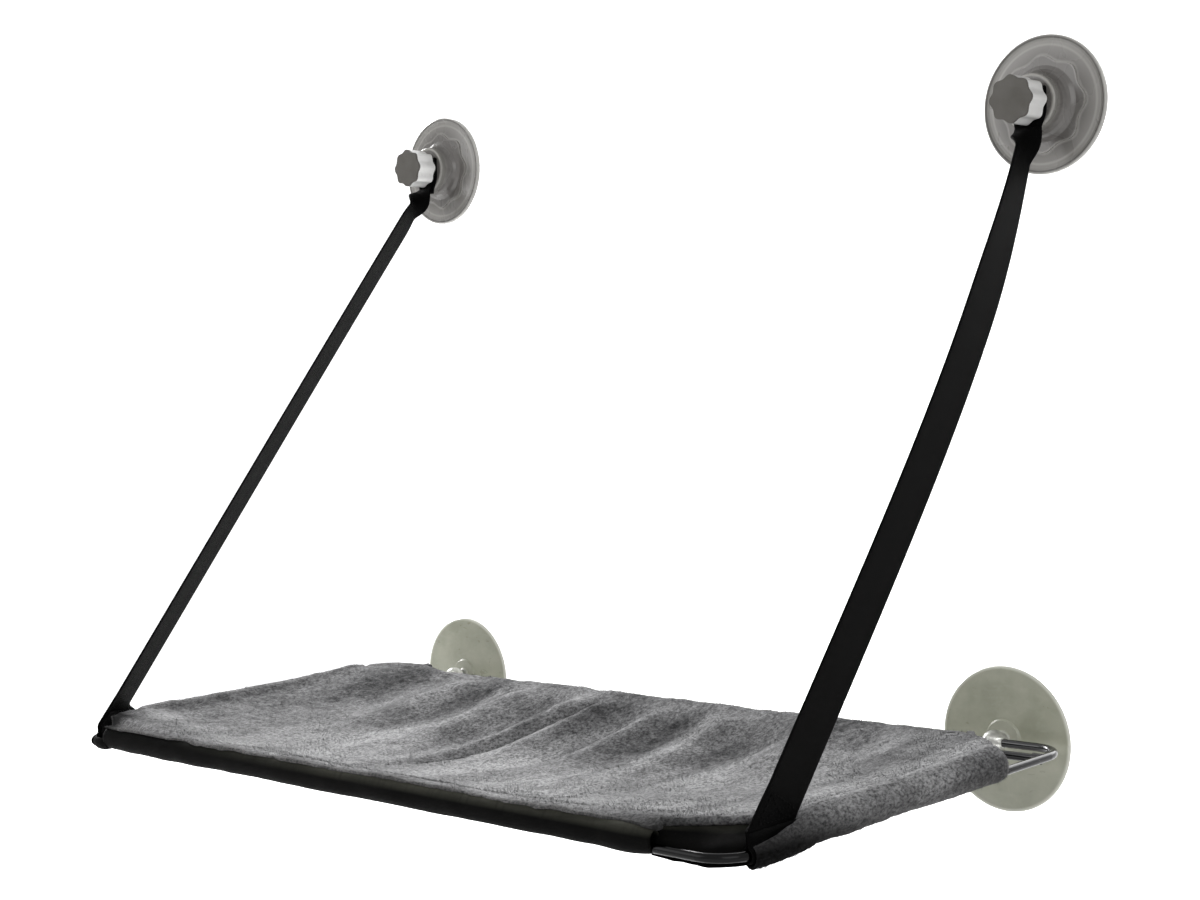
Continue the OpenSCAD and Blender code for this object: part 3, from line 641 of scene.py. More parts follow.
def run_point(side, t):
    """Middle of the bowed run, with t from 0 at the tab to 1 at the loop."""
    a, d = run_top(side), landing(side, LOOP_AT[side])
    bow = np.array([side * BOW[side] * 4 / 3, 0, 0])
    b = mix(a, d, 1 / 3) + bow * (1 + BOW_SKEW)
    c = mix(a, d, 2 / 3) + bow * (1 - BOW_SKEW)
    return ((1 - t) ** 3 * a + 3 * (1 - t) ** 2 * t * b
            + 3 * (1 - t) * t * t * c + t ** 3 * d)


def run_across(side, t):
    """Vector across the run, as long as the strap is wide there."""
    if t <= 0:
        along = np.array([0, 0, -1.0])
    else:
        along = unit(run_point(side, min(1, t + 0.01)) - run_point(side, max(0, t - 0.01)))
    swing = unit(np.cross([1, 0, 0], along))
    level = np.cross(along, swing)
    turn = TWIST[side] * smooth(t / TWIST_SHARE)
    width = mix(GATHER_W[side], STRAP_W, smooth(t / GATHER[side]))
    return width * (math.cos(turn) * level + math.sin(turn) * swing)


def strap_point(side, t, u):
    """Point of the run, with u from -0.5 to 0.5 across it. Its end lies on the loop."""
    free = run_point(side, t) + u * run_across(side, t)
    slope = (run_top(side) - landing(side, LOOP_AT[side])) * (1 - t)
    landed = landing(side, LOOP_AT[side] + u * LOOP_L) + slope
    return mix(free, landed, smooth((t - LANDING_SHARE) / (1 - LANDING_SHARE)))


ACROSS = np.linspace(-0.5, 0.5, 17)
# How wide the tab's folded end and the sewn end's tip are, as shares of the full width
TAB_TIP, SEWN_TIP = 0.62, 0.75
TAB_TAPER_L = 15 * MM
# Places on the run, from 0 at its top to 1 on the loop: where the sewn end has narrowed
# to its tip, and how far up it reaches
SEWN_NARROW = 0.985
OVERLAP_TOP = {-1: 0.986, 1: 0.966}
# How far the sewn end lies from the run's middle, in thicknesses of the strap
CLEAR_OF_RUN = 1.03
# How much closer the run's rows lie at its ends, where it twists and lands
CROWDING = 0.7


def strap(side):
    """Middle layer of one strap from its folded tab on the stud to the end of its run."""
    x, z = STUD[side]
    half, fold = STRAP_T / 2, TAB_TOP - STRAP_T
    # The tab's rows, as (width, distance in front of the boss, height above the stud)
    tab = [(TAB_W * mix(TAB_TIP, 1, smooth((h + TAB_FOLD) / TAB_TAPER_L)), half, h)
           for h in np.linspace(-TAB_FOLD, fold, 14)]
    tab += [(TAB_W, 2 * half - half * math.cos(a), fold + half * math.sin(a))
            for a in np.linspace(0, math.pi, 9)[1:-1]]
    tab += [(mix(GATHER_W[side], TAB_W, smooth((h + TAB_DROP) / (2 * TAPER_L))),
             3 * half, h) for h in np.linspace(fold, -TAB_DROP, 22)[:-1]]
    rows = [[(x - u * width, -BOSS_H - out, z + h) for u in ACROSS]
            for width, out, h in tab]
    flip = -1 if run_across(side, 0)[0] > 0 else 1
    even = np.linspace(0, 1, 240)
    for t in even - CROWDING * np.sin(2 * math.pi * even) / (2 * math.pi):
        rows.append([strap_point(side, t, flip * u) for u in ACROSS])
    return np.array(rows, float)


def loop_band(side):
    """The band of the strap that goes round the wire and up the back of its run. Its
    section is a line of (outward, up) pairs from the run round the wire and back."""
    half = STRAP_T / 2
    r = WIRE_BORE_R + half
    section = [(half * 0.3, LOOP_TOP + LANDING_GAP * 0.5)]
    section += [(half, LOOP_TOP - k * NECK_H / 4) for k in range(1, 4)]
    section += [(r * math.cos(a), r * math.sin(a))
                for a in np.linspace(math.radians(72), math.radians(-252), 26)]
    section += [(-half, LOOP_TOP - k * NECK_H / 4) for k in range(3, -1, -1)]
    rows = []
    for out, up in section:
        out *= LOOP_SLACK[side] if out > half else 1
        rows.append([corner_point(side, at) + out * corner_normal(side, at) + [0, 0, up]
                     for at in LOOP_AT[side] + ACROSS * LOOP_L])
    return on_frame(rows)


def strap_overlap(side, outward):
    """The strap's end, sewn to the inner face of its run above the loop."""
    rows = []
    for t in np.linspace(1, OVERLAP_TOP[side], 14):
        width = mix(SEWN_TIP, 1, smooth((t - SEWN_NARROW) / (1 - SEWN_NARROW)))
        line = np.array([strap_point(side, t, u * width) for u in ACROSS])
        along = unit(strap_point(side, t, 0) - strap_point(side, t - 0.01, 0))
        over = unit(np.gradient(line, axis=0))
        face = unit(np.cross(over, along))
        face *= np.sign(face @ outward)[:, None]
        rows.append(line - face * STRAP_T * CLEAR_OF_RUN)
    return np.array(rows)


def on_perch(piece, slot, *replaced):
    """Let a piece ride on the perch in place of those CAD nodes. The slot is not used."""
    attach(piece, "perch")
    if replaced:
        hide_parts(*replaced)
    return piece


def build_strap(side, word):
    """One strap: the band down to the corner, its loop there, and the sewn box."""
    outward = corner_normal(side, LOOP_AT[side])
    band = ribbon(f"strap_{word}", strap(side), STRAP_T, WEBBING)
    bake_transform(band)
    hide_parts(f"strap_tab_{word}", f"strap_run_{word}")
    loop = np.concatenate([loop_band(side), strap_overlap(side, outward)])
    on_perch(ribbon(f"strap_end_{word}", loop, STRAP_T, WEBBING), "webbing",
             f"strap_loop_{word}")

    def seam(start, end):
        """Stitch line on the run's outer face, between two (t, u) places."""
        line = []
        for share in np.linspace(0, 1, 24):
            t, u = mix(start[0], end[0], share), mix(start[1], end[1], share)
            p = strap_point(side, t, u)
            along = unit(p - strap_point(side, t - 0.01, u))
            over = unit(strap_point(side, t, u + 0.01) - strap_point(side, t, u - 0.01))
            face = unit(np.cross(over, along))
            face = face * np.sign(face @ outward)
            line.append((p + face * STRAP_T / 2, face))
        return line

    # The box's ends on the run and its half width, then its four sides and two diagonals
    low, high, edge = 0.994, 0.969, 0.36
    a, b, c, d = (low, -edge), (high, -edge), (low, edge), (high, edge)
    box = [seam(*ends) for ends in ((a, b), (c, d), (a, c), (b, d), (a, d), (c, b))]
    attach(stitches(f"strap_stitches_{word}", box, DARK_THREAD, 2.8 * MM, 0.8 * MM,
                     0.3 * MM), "perch")


for side, word in SIDES:
    build_strap(side, word)


# ---------------- cover
# Folds that start at the cover's rear edge, in millimetres: place from left to right,
# drift towards the front, half width, depth (hills are negative) and the share of the
# way to the front over which each dies away
FOLDS = (
    (-244, -14, 15, 2.4, 0.55), (-205, -8, 11, -3.2, 0.6), (-172, -18, 11, 3.2, 0.5),
    (-138, 6, 12, -4.0, 0.75), (-104, -10, 11, 3.8, 0.6), (-80, -18, 8, -3.4, 0.6),
    (-65, -34, 4.5, 5.2, 0.85), (-48, -16, 9, -4.0, 0.55), (-18, -8, 12, 4.6, 0.6),
    (10, 0, 9, -3.4, 0.6), (40, -12, 14, 4.4, 0.5), (76, -4, 11, -4.0, 0.65),
    (112, -16, 14, 4.0, 0.45), (150, 8, 12, -2.6, 0.5), (192, -10, 15, 3.0, 0.4),
    (232, 6, 12, -2.2, 0.4),
)
FOLD_DRIFT, FOLD_SPREAD, FOLD_GAIN = 1.6, 1.1, 1.5
COVER_STEP = 2.0 * MM
WIRE_CLEAR = WIRE_R + 0.35 * MM
LIP_RISE, LIP_START = 5.5 * MM, 0.74
LIP_ROWS = 5
# How far the plush stands up at the rear and the front corner of each side
CORNER_RISE = {-1: (8 * MM, 3 * MM), 1: (4 * MM, 1 * MM)}
# How far the plush's rolls are drawn in at their ends
SIDE_PINCH = {-1: (0.8, 0.62), 1: (0.45, 0.45)}
REAR_PINCH = 0.5
ROLL_END = {"side": 11 * MM, "rear": 9 * MM}


def panel_edge(distance, side):
    """Half width of the panel on one side, at a distance from the back rail."""
    if distance < SIDE_REAR:
        share = math.sin(math.pi / 2 * (distance - PANEL_REAR) / (SIDE_REAR - PANEL_REAR))
        return mix(REAR_HALF, PANEL_HALF, share)
    if distance > SIDE_FRONT[side]:
        share = (PANEL_FRONT - distance) / (PANEL_FRONT - SIDE_FRONT[side])
        return mix(abs(FRONT_ENDS[side]), PANEL_HALF, math.sin(math.pi / 2 * share))
    return PANEL_HALF


def panel_height(x, distance):
    """Height of the plush's top above the rails: hollow, folds and the front's rise."""
    s = np.clip((distance - PANEL_REAR) / (PANEL_FRONT - PANEL_REAR), 0, 1)
    off = np.minimum(1, np.abs(x) / PANEL_HALF)
    bowl = 4 * s * (1 - s) * (1 - off ** 2.5)
    height = mix(REAR_EDGE_H, FRONT_EDGE_H, s) + SIDE_EDGE_H * off ** 4 - SAG * bowl
    for at, drift, half, deep, end in FOLDS:
        middle = (at + drift * s * s * FOLD_DRIFT) * MM
        wide = (half * MM) * (1 + FOLD_SPREAD * s)
        fade = smooth(s / 0.10) * (1 - smooth((s - end * 0.35) / (end * 0.75)))
        height = height - FOLD_GAIN * deep * MM * fade * np.exp(-((x - middle) / wide) ** 2)
    height = height + LIP_RISE * smooth((s - LIP_START) / (1 - LIP_START))
    for side, _ in SIDES:
        outwards = smooth((side * x - 195 * MM) / (95 * MM))
        height = height + corner_lift(side, distance) * outwards
    return height


def corner_lift(side, distance):
    """How far the plush's side stands up at a distance from the back rail."""
    rear = smooth((PANEL_REAR + 110 * MM - distance) / (75 * MM))
    front = smooth((distance - PANEL_FRONT + 85 * MM) / (60 * MM))
    return CORNER_RISE[side][0] * rear + CORNER_RISE[side][1] * front


def roll(shape, first, last, count, tail):
    """Section of the plush round a rail, between two angles in degrees, and the tail
    in millimetres that turns back up inside: (out, up) pairs."""
    a, b, up = shape
    return [(a * math.cos(turn), up + b * math.sin(turn))
            for turn in np.linspace(math.radians(first), math.radians(last), count)
            ] + [(out * MM, up * MM) for out, up in tail]


SIDE_SECTION = roll(SIDE_ROLL, 140, -132, 34, ((-8.6, -0.4), (-10.4, 1.9), (-12.6, 3.8)))
REAR_SECTION = roll(REAR_ROLL, 52, 312, 30, ((7.9, -3.4), (9.8, -1.6), (12.2, -0.4)))


def lip_profile(x):
    """From the panel's front edge over the top of the front sleeve: (distance, up)."""
    a, b, up = FRONT_TUBE
    top = up + b
    wave = 1.9 * MM * lumps([(x, 0, 0)], 22 * MM, 3, 4.4)[0]
    reach = FRAME_DEPTH + 1.6 * MM + wave
    path = []
    for k in range(1, LIP_ROWS + 1):
        share = k / LIP_ROWS
        distance = mix(PANEL_FRONT, reach, share)
        out = np.clip((distance - FRAME_DEPTH) / a, -1, 1)
        skin = up + b * math.sqrt(1 - out * out)
        path.append((distance, mix(top + 0.6 * MM, skin + 1.9 * MM, share)))
    return path


def pinched(section, near, pinch):
    """A roll's section drawn in near the roll's end, with the plush's thickness there.

    near runs from 0 at the end to 1. The plush stays clear of the wire at (0, 0), and
    at the end it fills the roll up to the wire."""
    squeeze = mix(pinch, 1, math.sqrt(1 - (1 - near) ** 2))
    for k, (out, up) in enumerate(section):
        pull = mix(1, squeeze, float(smooth(k / 9)))
        room = max(0.6 * MM, math.hypot(out * pull, up * pull) - WIRE_CLEAR)
        filled = 1 - near if k > 4 else 0
        yield out * pull, up * pull, mix(min(PLUSH_T, room), room, filled)


def plush_sheet():
    """Outer face of the plush as a grid, with its thickness. Missing points are nan.

    Rows run from under the cross rail over the panel to the lip on the front sleeve,
    columns from under the left side rail to under the right one."""
    rows = int((PANEL_FRONT - PANEL_REAR) / COVER_STEP)
    cols = int(2 * PANEL_HALF / COVER_STEP)
    depths = np.linspace(PANEL_REAR, PANEL_FRONT, rows)
    top, mid = len(REAR_SECTION), len(SIDE_SECTION)
    grid = np.full((top + rows + LIP_ROWS, cols + 2 * mid, 3), np.nan)
    thick = np.full(grid.shape[:2], PLUSH_T)
    for r, d in enumerate(depths):
        x = np.linspace(-panel_edge(d, -1), panel_edge(d, 1), cols)
        panel = [x, np.full(cols, -d), panel_height(x, d)]
        grid[top + r, mid:mid + cols] = np.stack(panel, -1)
    for side, _ in SIDES:
        inside = [r for r, d in enumerate(depths) if SIDE_REAR <= d <= SIDE_FRONT[side]]
        low, high = depths[inside[0]], depths[inside[-1]]
        for r in inside:
            d = depths[r]
            near = min(1, min(d - low, high - d) / ROLL_END["side"])
            pinch = SIDE_PINCH[side][int(d > FRAME_DEPTH / 2)]
            for k, (out, up, deep) in enumerate(pinched(SIDE_SECTION, near, pinch)):
                col = mid + cols + k if side > 0 else mid - 1 - k
                lift = 0.7 * corner_lift(side, d) * (1 - smooth(k / 16))
                grid[top + r, col] = (side * (FRAME_W / 2 + out), -d, up + lift)
                thick[top + r, col] = deep
    for c, x in enumerate(grid[top, mid:mid + cols, 0].copy(), mid):
        near = min(1, (REAR_HALF - abs(x)) / ROLL_END["rear"])
        for k, (out, up, deep) in enumerate(pinched(REAR_SECTION, near, REAR_PINCH), 1):
            grid[top - k, c] = (x, -CROSS_RAIL - out, up)
            thick[top - k, c] = deep
    for c, x in enumerate(grid[top + rows - 1, mid:mid + cols, 0].copy(), mid):
        for k, (distance, up) in enumerate(lip_profile(x)):
            grid[top + rows + k, c] = (x, -distance, up)
            thick[top + rows + k, c] = mix(PLUSH_T, 1.6 * MM, (k + 1) / LIP_ROWS)
    # The rows and columns beside each join of panel, rolls and lip
    free = np.zeros(grid.shape[:2], bool)
    for join in (mid, mid + cols):
        free[:, join - 7:join + 7] = True
    free[top - 6:top + 7] = True
    free[top + rows - 5:top + rows + 2] = True
    return relax(grid, 12, free), relax(thick[..., None], 4, free)[..., 0]


def relax(grid, times, free):
    """Draw each free point towards its four neighbours, so that joins run smoothly."""
    for _ in range(times):
        wide = np.pad(grid, ((1, 1), (1, 1), (0, 0)), constant_values=np.nan)
        mean = (wide[:-2, 1:-1] + wide[2:, 1:-1] + wide[1:-1, :-2] + wide[1:-1, 2:]) / 4
        move = free & ~np.isnan((grid + mean)[..., 0])
        grid[move] = (grid[move] + mean[move]) / 2
    return grid


def sheet_normals(grid):
    """Outward normals of a grid with missing points, and which of its faces are whole."""
    rows, cols, _ = grid.shape
    normal = np.zeros_like(grid)
    a, b = grid[:-1, :-1], grid[1:, :-1]
    c, d = grid[1:, 1:], grid[:-1, 1:]
    face = np.cross(b - d, c - a)
    whole = ~np.isnan(face[..., 0])
    face[~whole] = 0
    for dr, dc in ((0, 0), (1, 0), (1, 1), (0, 1)):
        normal[dr:rows - 1 + dr, dc:cols - 1 + dc] += face
    return unit(normal), whole


def closed_sheet(name, outer, inner, whole, material, bulge=0.42):
    """Closed mesh between two grids, with a rounded rim along every free edge that
    bulges by a share of the gap between them."""
    here = ~np.isnan(outer[..., 0])
    count = int(here.sum())
    index = np.full(outer.shape[:2], -1)
    index[here] = np.arange(count)
    skin, lining = outer[here], inner[here]
    faces, edges = [], set()
    for r, c in zip(*np.nonzero(whole)):
        q = (index[r, c], index[r + 1, c], index[r + 1, c + 1], index[r, c + 1])
        faces += [q, tuple(count + i for i in reversed(q))]
        edges.update((q[i], q[(i + 1) % 4]) for i in range(4))
    lone = sorted(p for p in edges if (p[1], p[0]) not in edges)
    sides = {}
    for a, b in lone:
        for v in (a, b):
            sides.setdefault(v, []).append((a, b))
    rim, extra = {}, []
    for v, pairs in sides.items():
        gap = skin[v] - lining[v]
        away = sum(unit(np.cross(skin[b] - skin[a], unit(gap))) for a, b in pairs)
        away = unit(away) * np.linalg.norm(gap) * bulge
        rim[v] = [v]
        # Three points round the rim, as shares of the way from the skin to the lining
        for turn in (0.22, 0.5, 0.78):
            extra.append(mix(skin[v], lining[v], turn) + away * math.sin(math.pi * turn))
            rim[v].append(2 * count + len(extra) - 1)
        rim[v].append(count + v)
    for a, b in lone:
        for i in range(4):
            faces.append((rim[b][i], rim[a][i], rim[a][i + 1], rim[b][i + 1]))
    return mesh_object(name, np.concatenate([skin, lining, extra]), faces, material)


def pile_fibres(name, grid, normal, whole, material, count, seed):
    """Short tapered fibres of the pile that lean with the nap, as one mesh."""
    draw = np.random.default_rng(seed)
    a, b = grid[:-1, :-1][whole], grid[1:, :-1][whole]
    c, d = grid[1:, 1:][whole], grid[:-1, 1:][whole]
    up = normal[:-1, :-1][whole]
    area = np.linalg.norm(np.cross(b - d, c - a), axis=-1)
    pick = draw.choice(len(a), count, p=area / area.sum())
    u, v = draw.random((2, count, 1))
    root = mix(mix(a[pick], b[pick], v), mix(d[pick], c[pick], v), u)
    face = up[pick]
    swirl = lumps(root, 30 * MM, 2, 11.0)[:, None] * [1.6, 0.3, 0]
    lean = np.array([-0.45, -0.8, 0.1]) + swirl + draw.normal(0, 0.35, (count, 3))
    lean = lean - face * (lean * face).sum(-1, keepdims=True)
    along = unit(face + 1.1 * lean)
    across = unit(np.cross(along, face + draw.normal(0, 0.3, (count, 3))))
    length = draw.uniform(1.3, 2.6, (count, 1)) * MM
    root = root - face * 0.3 * MM
    wide = 0.16 * MM
    points = np.stack([root - across * wide, root + across * wide,
                       root + along * length], 1).reshape(-1, 3)
    faces = np.arange(3 * count).reshape(-1, 3)
    piece = mesh_object(name, points, faces.tolist(), material)
    shade = unit(face + 0.45 * lean + draw.normal(0, 0.16, (count, 3)))
    piece.data.normals_split_custom_set_from_vertices(np.repeat(shade, 3, axis=0).tolist())
    return piece


def plush_pieces(names, grid, thick, bumps, count, seed):
    """The plush below a grid that is made uneven by those bumps, and its pile."""
    normal, whole = sheet_normals(grid)
    outer = on_frame(grid + normal * bumps[..., None])
    inner = on_frame(grid - normal * thick[..., None])
    cloth_name, pile_name = names
    cloth = closed_sheet(cloth_name, outer, inner, whole, PLUSH)
    pile = pile_fibres(pile_name, outer, *sheet_normals(outer), PILE, count, seed)
    return on_perch(cloth, "plush"), on_perch(pile, "plush")


def build_cover():
    """The plush from under the one side rail to under the other."""
    grid, thick = plush_sheet()
    here = ~np.isnan(grid[..., 0])
    bumps = np.zeros(grid.shape[:2])
    spots = grid[here]
    bumps[here] = (0.3 * lumps(spots, 6 * MM, 1, 3.1) + 0.6 * lumps(spots, 13 * MM, 2, 8.3)
                   + 0.9 * lumps(spots * [1, 0.5, 1], 30 * MM, 2, 7.7)) * MM
    cloth, pile = plush_pieces(("cover_plush", "cover_pile"), grid, thick, bumps, 75000, 22)
    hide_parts("cover_panel", "rear_sleeve", "side_sleeve_left",
                "side_sleeve_right")
    return cloth, pile


plush_piece, plush_pile = build_cover()


def build_corner_plush():
    """Tongue of plush that goes on from the right side's roll under the strap's loop."""
    first, last = LOOP_AT[1] - LOOP_L / 2 + 1 * MM, LOOP_AT[1] + LOOP_L / 2 + 9 * MM
    rows, thick = [], []
    for distance in np.arange(first, last, COVER_STEP):
        share = (distance - first) / (last - first)
        wire, out = corner_point(1, distance), corner_normal(1, distance)
        a = mix(6.9 * MM, SIDE_ROLL[0] + 0.9 * MM, share)
        b = mix(7.2 * MM, SIDE_ROLL[1] + 0.7 * MM, share)
        up = SIDE_ROLL[2] * share ** 1.5
        turns = np.linspace(math.radians(205), math.radians(mix(412, 420, share)), 34)
        rows.append([wire + out * a * math.cos(t) + [0, 0, up + b * math.sin(t)]
                     for t in turns])
        thick.append([mix(1.4, 0.7, share) * MM] * len(turns))
    grid, thick = np.array(rows)[::-1, ::-1], np.array(thick)[::-1]
    bumps = 0.5 * MM * (lumps(grid, 5 * MM, 2, 3.3) + lumps(grid, 12 * MM, 2, 8.8))
    return plush_pieces(("corner_plush_right", "corner_pile_right"), grid, thick, bumps,
                        1600, 23)


corner_pieces = build_corner_plush()


def build_lining():
    """Dark woven lining under the plush, from seam to seam."""
    depths = np.linspace(PANEL_REAR + 4 * MM, PANEL_FRONT - 2 * MM, 90)
    rows = []
    for d in depths:
        x = np.linspace(-panel_edge(d, -1) + 3 * MM, panel_edge(d, 1) - 3 * MM, 160)
        top = panel_height(x, d)
        under = top - PLUSH_T * np.hypot(1, np.gradient(top, x)) - 0.9 * MM
        near = np.pad(under, 1, mode="edge")
        height = np.minimum(under, np.minimum(near[:-2], near[2:]))
        rows.append(np.stack([x, np.full_like(x, -d), height], -1))
    piece = ribbon("cover_lining_cloth", on_frame(rows), 1.0 * MM, LINING, 2, 1.0)
    return on_perch(piece, "lining_cloth", "cover_lining")


lining_piece = build_lining()


def tube_mesh(name, rings, thickness, material):
    """Open tube of cloth through rings of points, with real thickness."""
    rows, count, _ = rings.shape
    around = np.concatenate([rings, rings[:, :1]], axis=1)
    normal = grid_normals(around)[:, :-1]
    centre = rings.mean(axis=1, keepdims=True)
    sign = np.sign((normal * (rings - centre)).sum(-1).mean())
    inner = rings - sign * normal * thickness
    length = arc_lengths(rings, 0)
    girth = arc_lengths(around, 1)[:, :-1]
    uvs = np.stack([length, girth], -1).reshape(-1, 2)
    total = rows * count
    faces = []
    for r in range(rows - 1):
        for c in range(count):
            q = (r * count + c, (r + 1) * count + c,
                 (r + 1) * count + (c + 1) % count, r * count + (c + 1) % count)
            q = q if sign > 0 else q[::-1]
            faces += [q, tuple(total + i for i in reversed(q))]
    for r, flip in ((0, sign > 0), (rows - 1, sign < 0)):
        for c in range(count):
            a, b = r * count + c, r * count + (c + 1) % count
            q = (a, b, total + b, total + a)
            faces.append(q if flip else q[::-1])
    points = np.concatenate([rings.reshape(-1, 3), inner.reshape(-1, 3)])
    return mesh_object(name, points, faces, material, np.concatenate([uvs, uvs]))


def build_front_sleeve():
    """Dark smooth tube of cloth on the front rail, fuller and looser to the right."""
    a, b, up = FRONT_TUBE
    rows = []
    for x in np.linspace(FRONT_ENDS[-1], FRONT_ENDS[1], 260):
        end = min(x - FRONT_ENDS[-1], FRONT_ENDS[1] - x)
        puff = 1 + 0.14 * math.exp(-((x - FRONT_ENDS[1] + 22 * MM) / (16 * MM)) ** 2)
        full = puff * (1 - 0.2 * math.exp(-end / (7 * MM)))
        rows.append([(x, -FRAME_DEPTH - a * full * math.cos(turn),
                      up + b * full * math.sin(turn) * (1 if turn < math.pi else 0.97))
                     for turn in np.linspace(0, 2 * math.pi, 44, endpoint=False)])
    tube = np.array(rows)
    ripple = (0.5 * lumps(tube * [0.4, 1.2, 1.2], 15 * MM, 2, 5.3)
              + 0.35 * lumps(tube * [1, 0.6, 0.6], 34 * MM, 2, 9.1)) * MM
    out = unit((tube - [0, -FRAME_DEPTH, up]) * [0, 1, 1])
    tube = on_frame(tube + out * ripple[..., None])
    piece = tube_mesh("front_sleeve_cloth", tube, 0.6 * MM, TUBE_CLOTH)
    return on_perch(piece, "front_sleeve_cloth", "front_sleeve")


sleeve_piece = build_front_sleeve()


def build_hem(side, word):
    """Black cloth of a front corner, from the plush's edge down behind and under the
    wire. On the left it goes on round the wire's front; on the right the wire shows."""
    loop_edge = LOOP_AT[side] - LOOP_L / 2 - 0.2 * MM
    sleeve_edge = abs(FRONT_ENDS[side]) - (FRAME_W / 2 - BEND_R) - BEND_HALF - 3 * MM
    last = math.radians(412 if side < 0 else 262)
    depths = np.linspace(PANEL_FRONT, SIDE_FRONT[side] + 3 * MM, 70)
    rows = []
    for k, d in enumerate(depths):
        x = side * (panel_edge(d, side) - 1.5 * MM)
        run = min(1, 1.6 * k / len(depths)) ** 1.2
        distance = mix(sleeve_edge, loop_edge, run)
        wire = corner_point(side, distance)
        out = corner_normal(side, distance)
        top = np.array([x, -d, panel_height(x, d) - PLUSH_T])
        r = mix(3.6, 4.6, smooth(run / 0.3)) * MM
        near = wire - out * r
        over = near + [0, 0, 6.5 * MM]
        line = [(1 - t) ** 2 * top + 2 * t * (1 - t) * over + t * t * near
                for t in np.linspace(0, 1, 12)[:-1]]
        line += [wire + out * r * math.cos(a) + [0, 0, r * math.sin(a)]
                 for a in np.linspace(math.pi, last, 22)]
        rows.append(line)
    middle = np.array(rows)
    middle += 0.5 * MM * lumps(middle, 11 * MM, 2, 6.6 + side)[..., None] * [0.4, 0.4, 1]
    piece = ribbon(f"corner_hem_{word}", on_frame(middle), 0.9 * MM, HEM_CLOTH, 2, 1.0)
    return on_perch(piece, "front_sleeve_cloth")


hems = [build_hem(side, word) for side, word in SIDES]


def build_cover_seams():
    """Stitch lines under the cover: along the turned-in side and rear edges."""
    inset = 12 * MM
    paths = [[((side * (FRAME_W / 2 - 11.5 * MM), -d, 1.2 * MM), (side * -0.35, 0, -0.9))
              for d in np.linspace(SIDE_REAR + inset, SIDE_FRONT[side] - inset, 80)]
             for side, _ in SIDES]
    paths.append([((x, -CROSS_RAIL - 10.6 * MM, -2.6 * MM), (0, -0.4, -0.9))
                  for x in np.linspace(-REAR_HALF + inset, REAR_HALF - inset, 120)])
    lines = [[(on_frame(p), normal) for p, normal in path] for path in paths]
    sewing = stitches("cover_stitches", lines, GREY_THREAD, 3.6 * MM, 1.1 * MM, 0.35 * MM)
    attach(sewing, "perch")
    return sewing


cover_sewing = build_cover_seams()

# ---------------- rigid CAD nodes
FINISH = {
    "upper_stud": ZINC, "clamp_washer": ZINC, "knob_insert": BRASS, "knob_cap": KNOB_FACE,
    "frame_loop": CHROME, "cross_rail": CHROME, "knob": KNOB_SKIN,
}
for side, word in SIDES:
    low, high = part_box(f"lower_cup_{word}")
    middle = ((low[0] + high[0]) / 2, (low[2] + high[2]) / 2)
    FINISH[f"lower_cup_{word}"] = lower_cup_plastic(f"lower_cup_plastic_{word}", middle)
    FINISH[f"upper_cup_{word}"] = upper_cup_plastic(f"upper_cup_plastic_{word}", STUD[side])
for name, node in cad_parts.items():
    if node.hide_render:
        continue
    key = max((k for k in FINISH if name.startswith(k)), key=len)
    node.data.materials.clear()
    node.data.materials.append(FINISH[key])

# ---------------- stage
FLOOR_Z = CAD_BOX[0][2] - 220 * MM
WHITE = (1, 1, 1, 1)


def build_floor():
    """Pale floor that sweeps up into a backdrop behind the window plane."""
    wide, near, far, rise, bend = 6.0, -4.0, 1.6, 3.0, 0.7
    profile = [(near, 0.0), (far - bend, 0.0)]
    profile += [(far - bend + bend * math.sin(a), bend - bend * math.cos(a))
                for a in np.linspace(0, math.pi / 2, 14)[1:]]
    profile.append((far, rise))
    points = [(x, y, FLOOR_Z + z) for y, z in profile for x in (-wide, wide)]
    faces = [(2 * i, 2 * i + 1, 2 * i + 3, 2 * i + 2) for i in range(len(profile) - 1)]
    s = Shader("floor_paint")
    s.set(Base_Color=(0.82, 0.82, 0.82, 1), Roughness=0.9, Specular_IOR_Level=0.1,
          Emission_Color=WHITE, Emission_Strength=s.product(s.looking_rays(), 0.9))
    mesh_object("floor", points, faces, s.material)


build_floor()


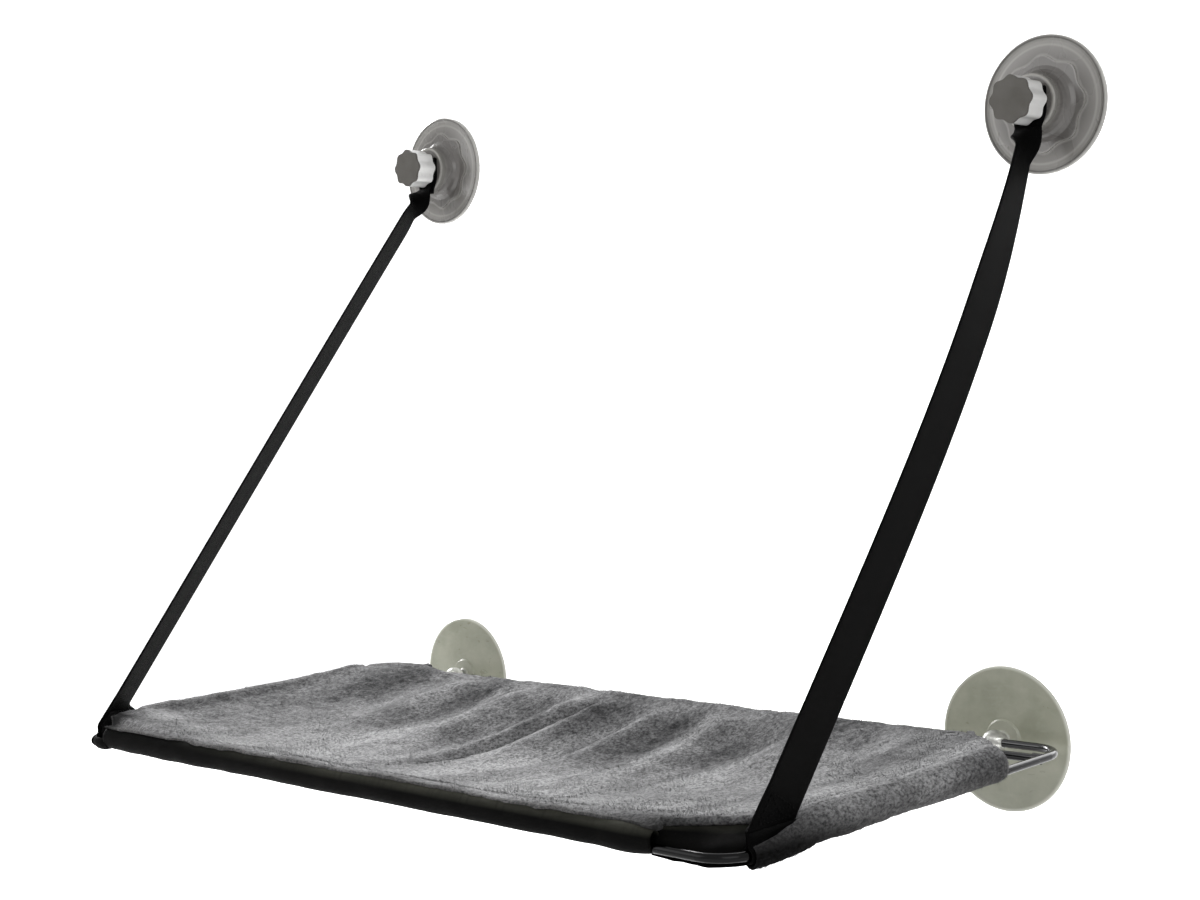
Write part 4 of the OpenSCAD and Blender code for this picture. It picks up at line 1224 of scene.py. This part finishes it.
def build_world(light=0.3):
    """Even soft light from all round, seen as plain white."""
    world = bpy.data.worlds.new("studio")
    world.use_nodes = True
    bpy.context.scene.world = world
    s = Nodes(world.node_tree)
    s.nodes.clear()
    lit, seen = (s.add("Background", {"Color": WHITE, "Strength": strength}).outputs[0]
                 for strength in (light, 1.0))
    shader = s.add("MixShader", {0: s.looking_rays(), 1: lit, 2: seen})
    s.add("OutputWorld", {"Surface": shader.outputs[0]})


build_world()


def softbox(name, at, towards, size, power):
    light = bpy.data.lights.new(name, "AREA")
    light.shape = "RECTANGLE"
    light.size, light.size_y = size
    light.energy = power
    lamp = bpy.data.objects.new(name, light)
    lamp.location = at
    lamp.visible_camera = False
    lamp.rotation_euler = (Vector(towards) - Vector(at)).to_track_quat("-Z", "Y").to_euler()
    bpy.context.scene.collection.objects.link(lamp)


# The side box gives the plush's folds their contrast, the glint box the thin bright
# lines on the wire and the knobs
MIDDLE = (0.0, -0.17, 0.1)
softbox("side_box", (-1.5, 0.3, 0.8), MIDDLE, (0.7, 0.7), 38)
softbox("glint_box", (-1.12, 0.62, 1.19), MIDDLE, (0.3, 0.3), 6)
softbox("window_box", (0.1, 1.3, 0.9), MIDDLE, (1.4, 0.9), 12)
softbox("front_box", (-0.9, -1.6, 0.8), MIDDLE, (1.2, 1.2), 10)
softbox("fill_box", (1.7, -1.3, 1.0), MIDDLE, (1.3, 1.3), 11)


def build_camera():
    """The photograph's camera, with the place, turn and lens that were fitted to it."""
    image_width, focal_pixels = 1200, 1935.5165
    data = bpy.data.cameras.new("camera")
    data.sensor_width = 36
    data.lens = focal_pixels / image_width * data.sensor_width
    turn = Euler((1.6079, 0.7683, -0.001), "XYZ").to_matrix()
    place = Matrix((turn[0], -turn[1], -turn[2])).transposed().to_4x4()
    place.translation = Vector((0.9593, -1.1115, 0.2345))
    camera = bpy.data.objects.new("camera", data)
    camera.matrix_world = place
    bpy.context.scene.collection.objects.link(camera)
    bpy.context.scene.camera = camera


build_camera()
bpy.context.scene.view_settings.view_transform = "Standard"

bpy.context.view_layer.update()
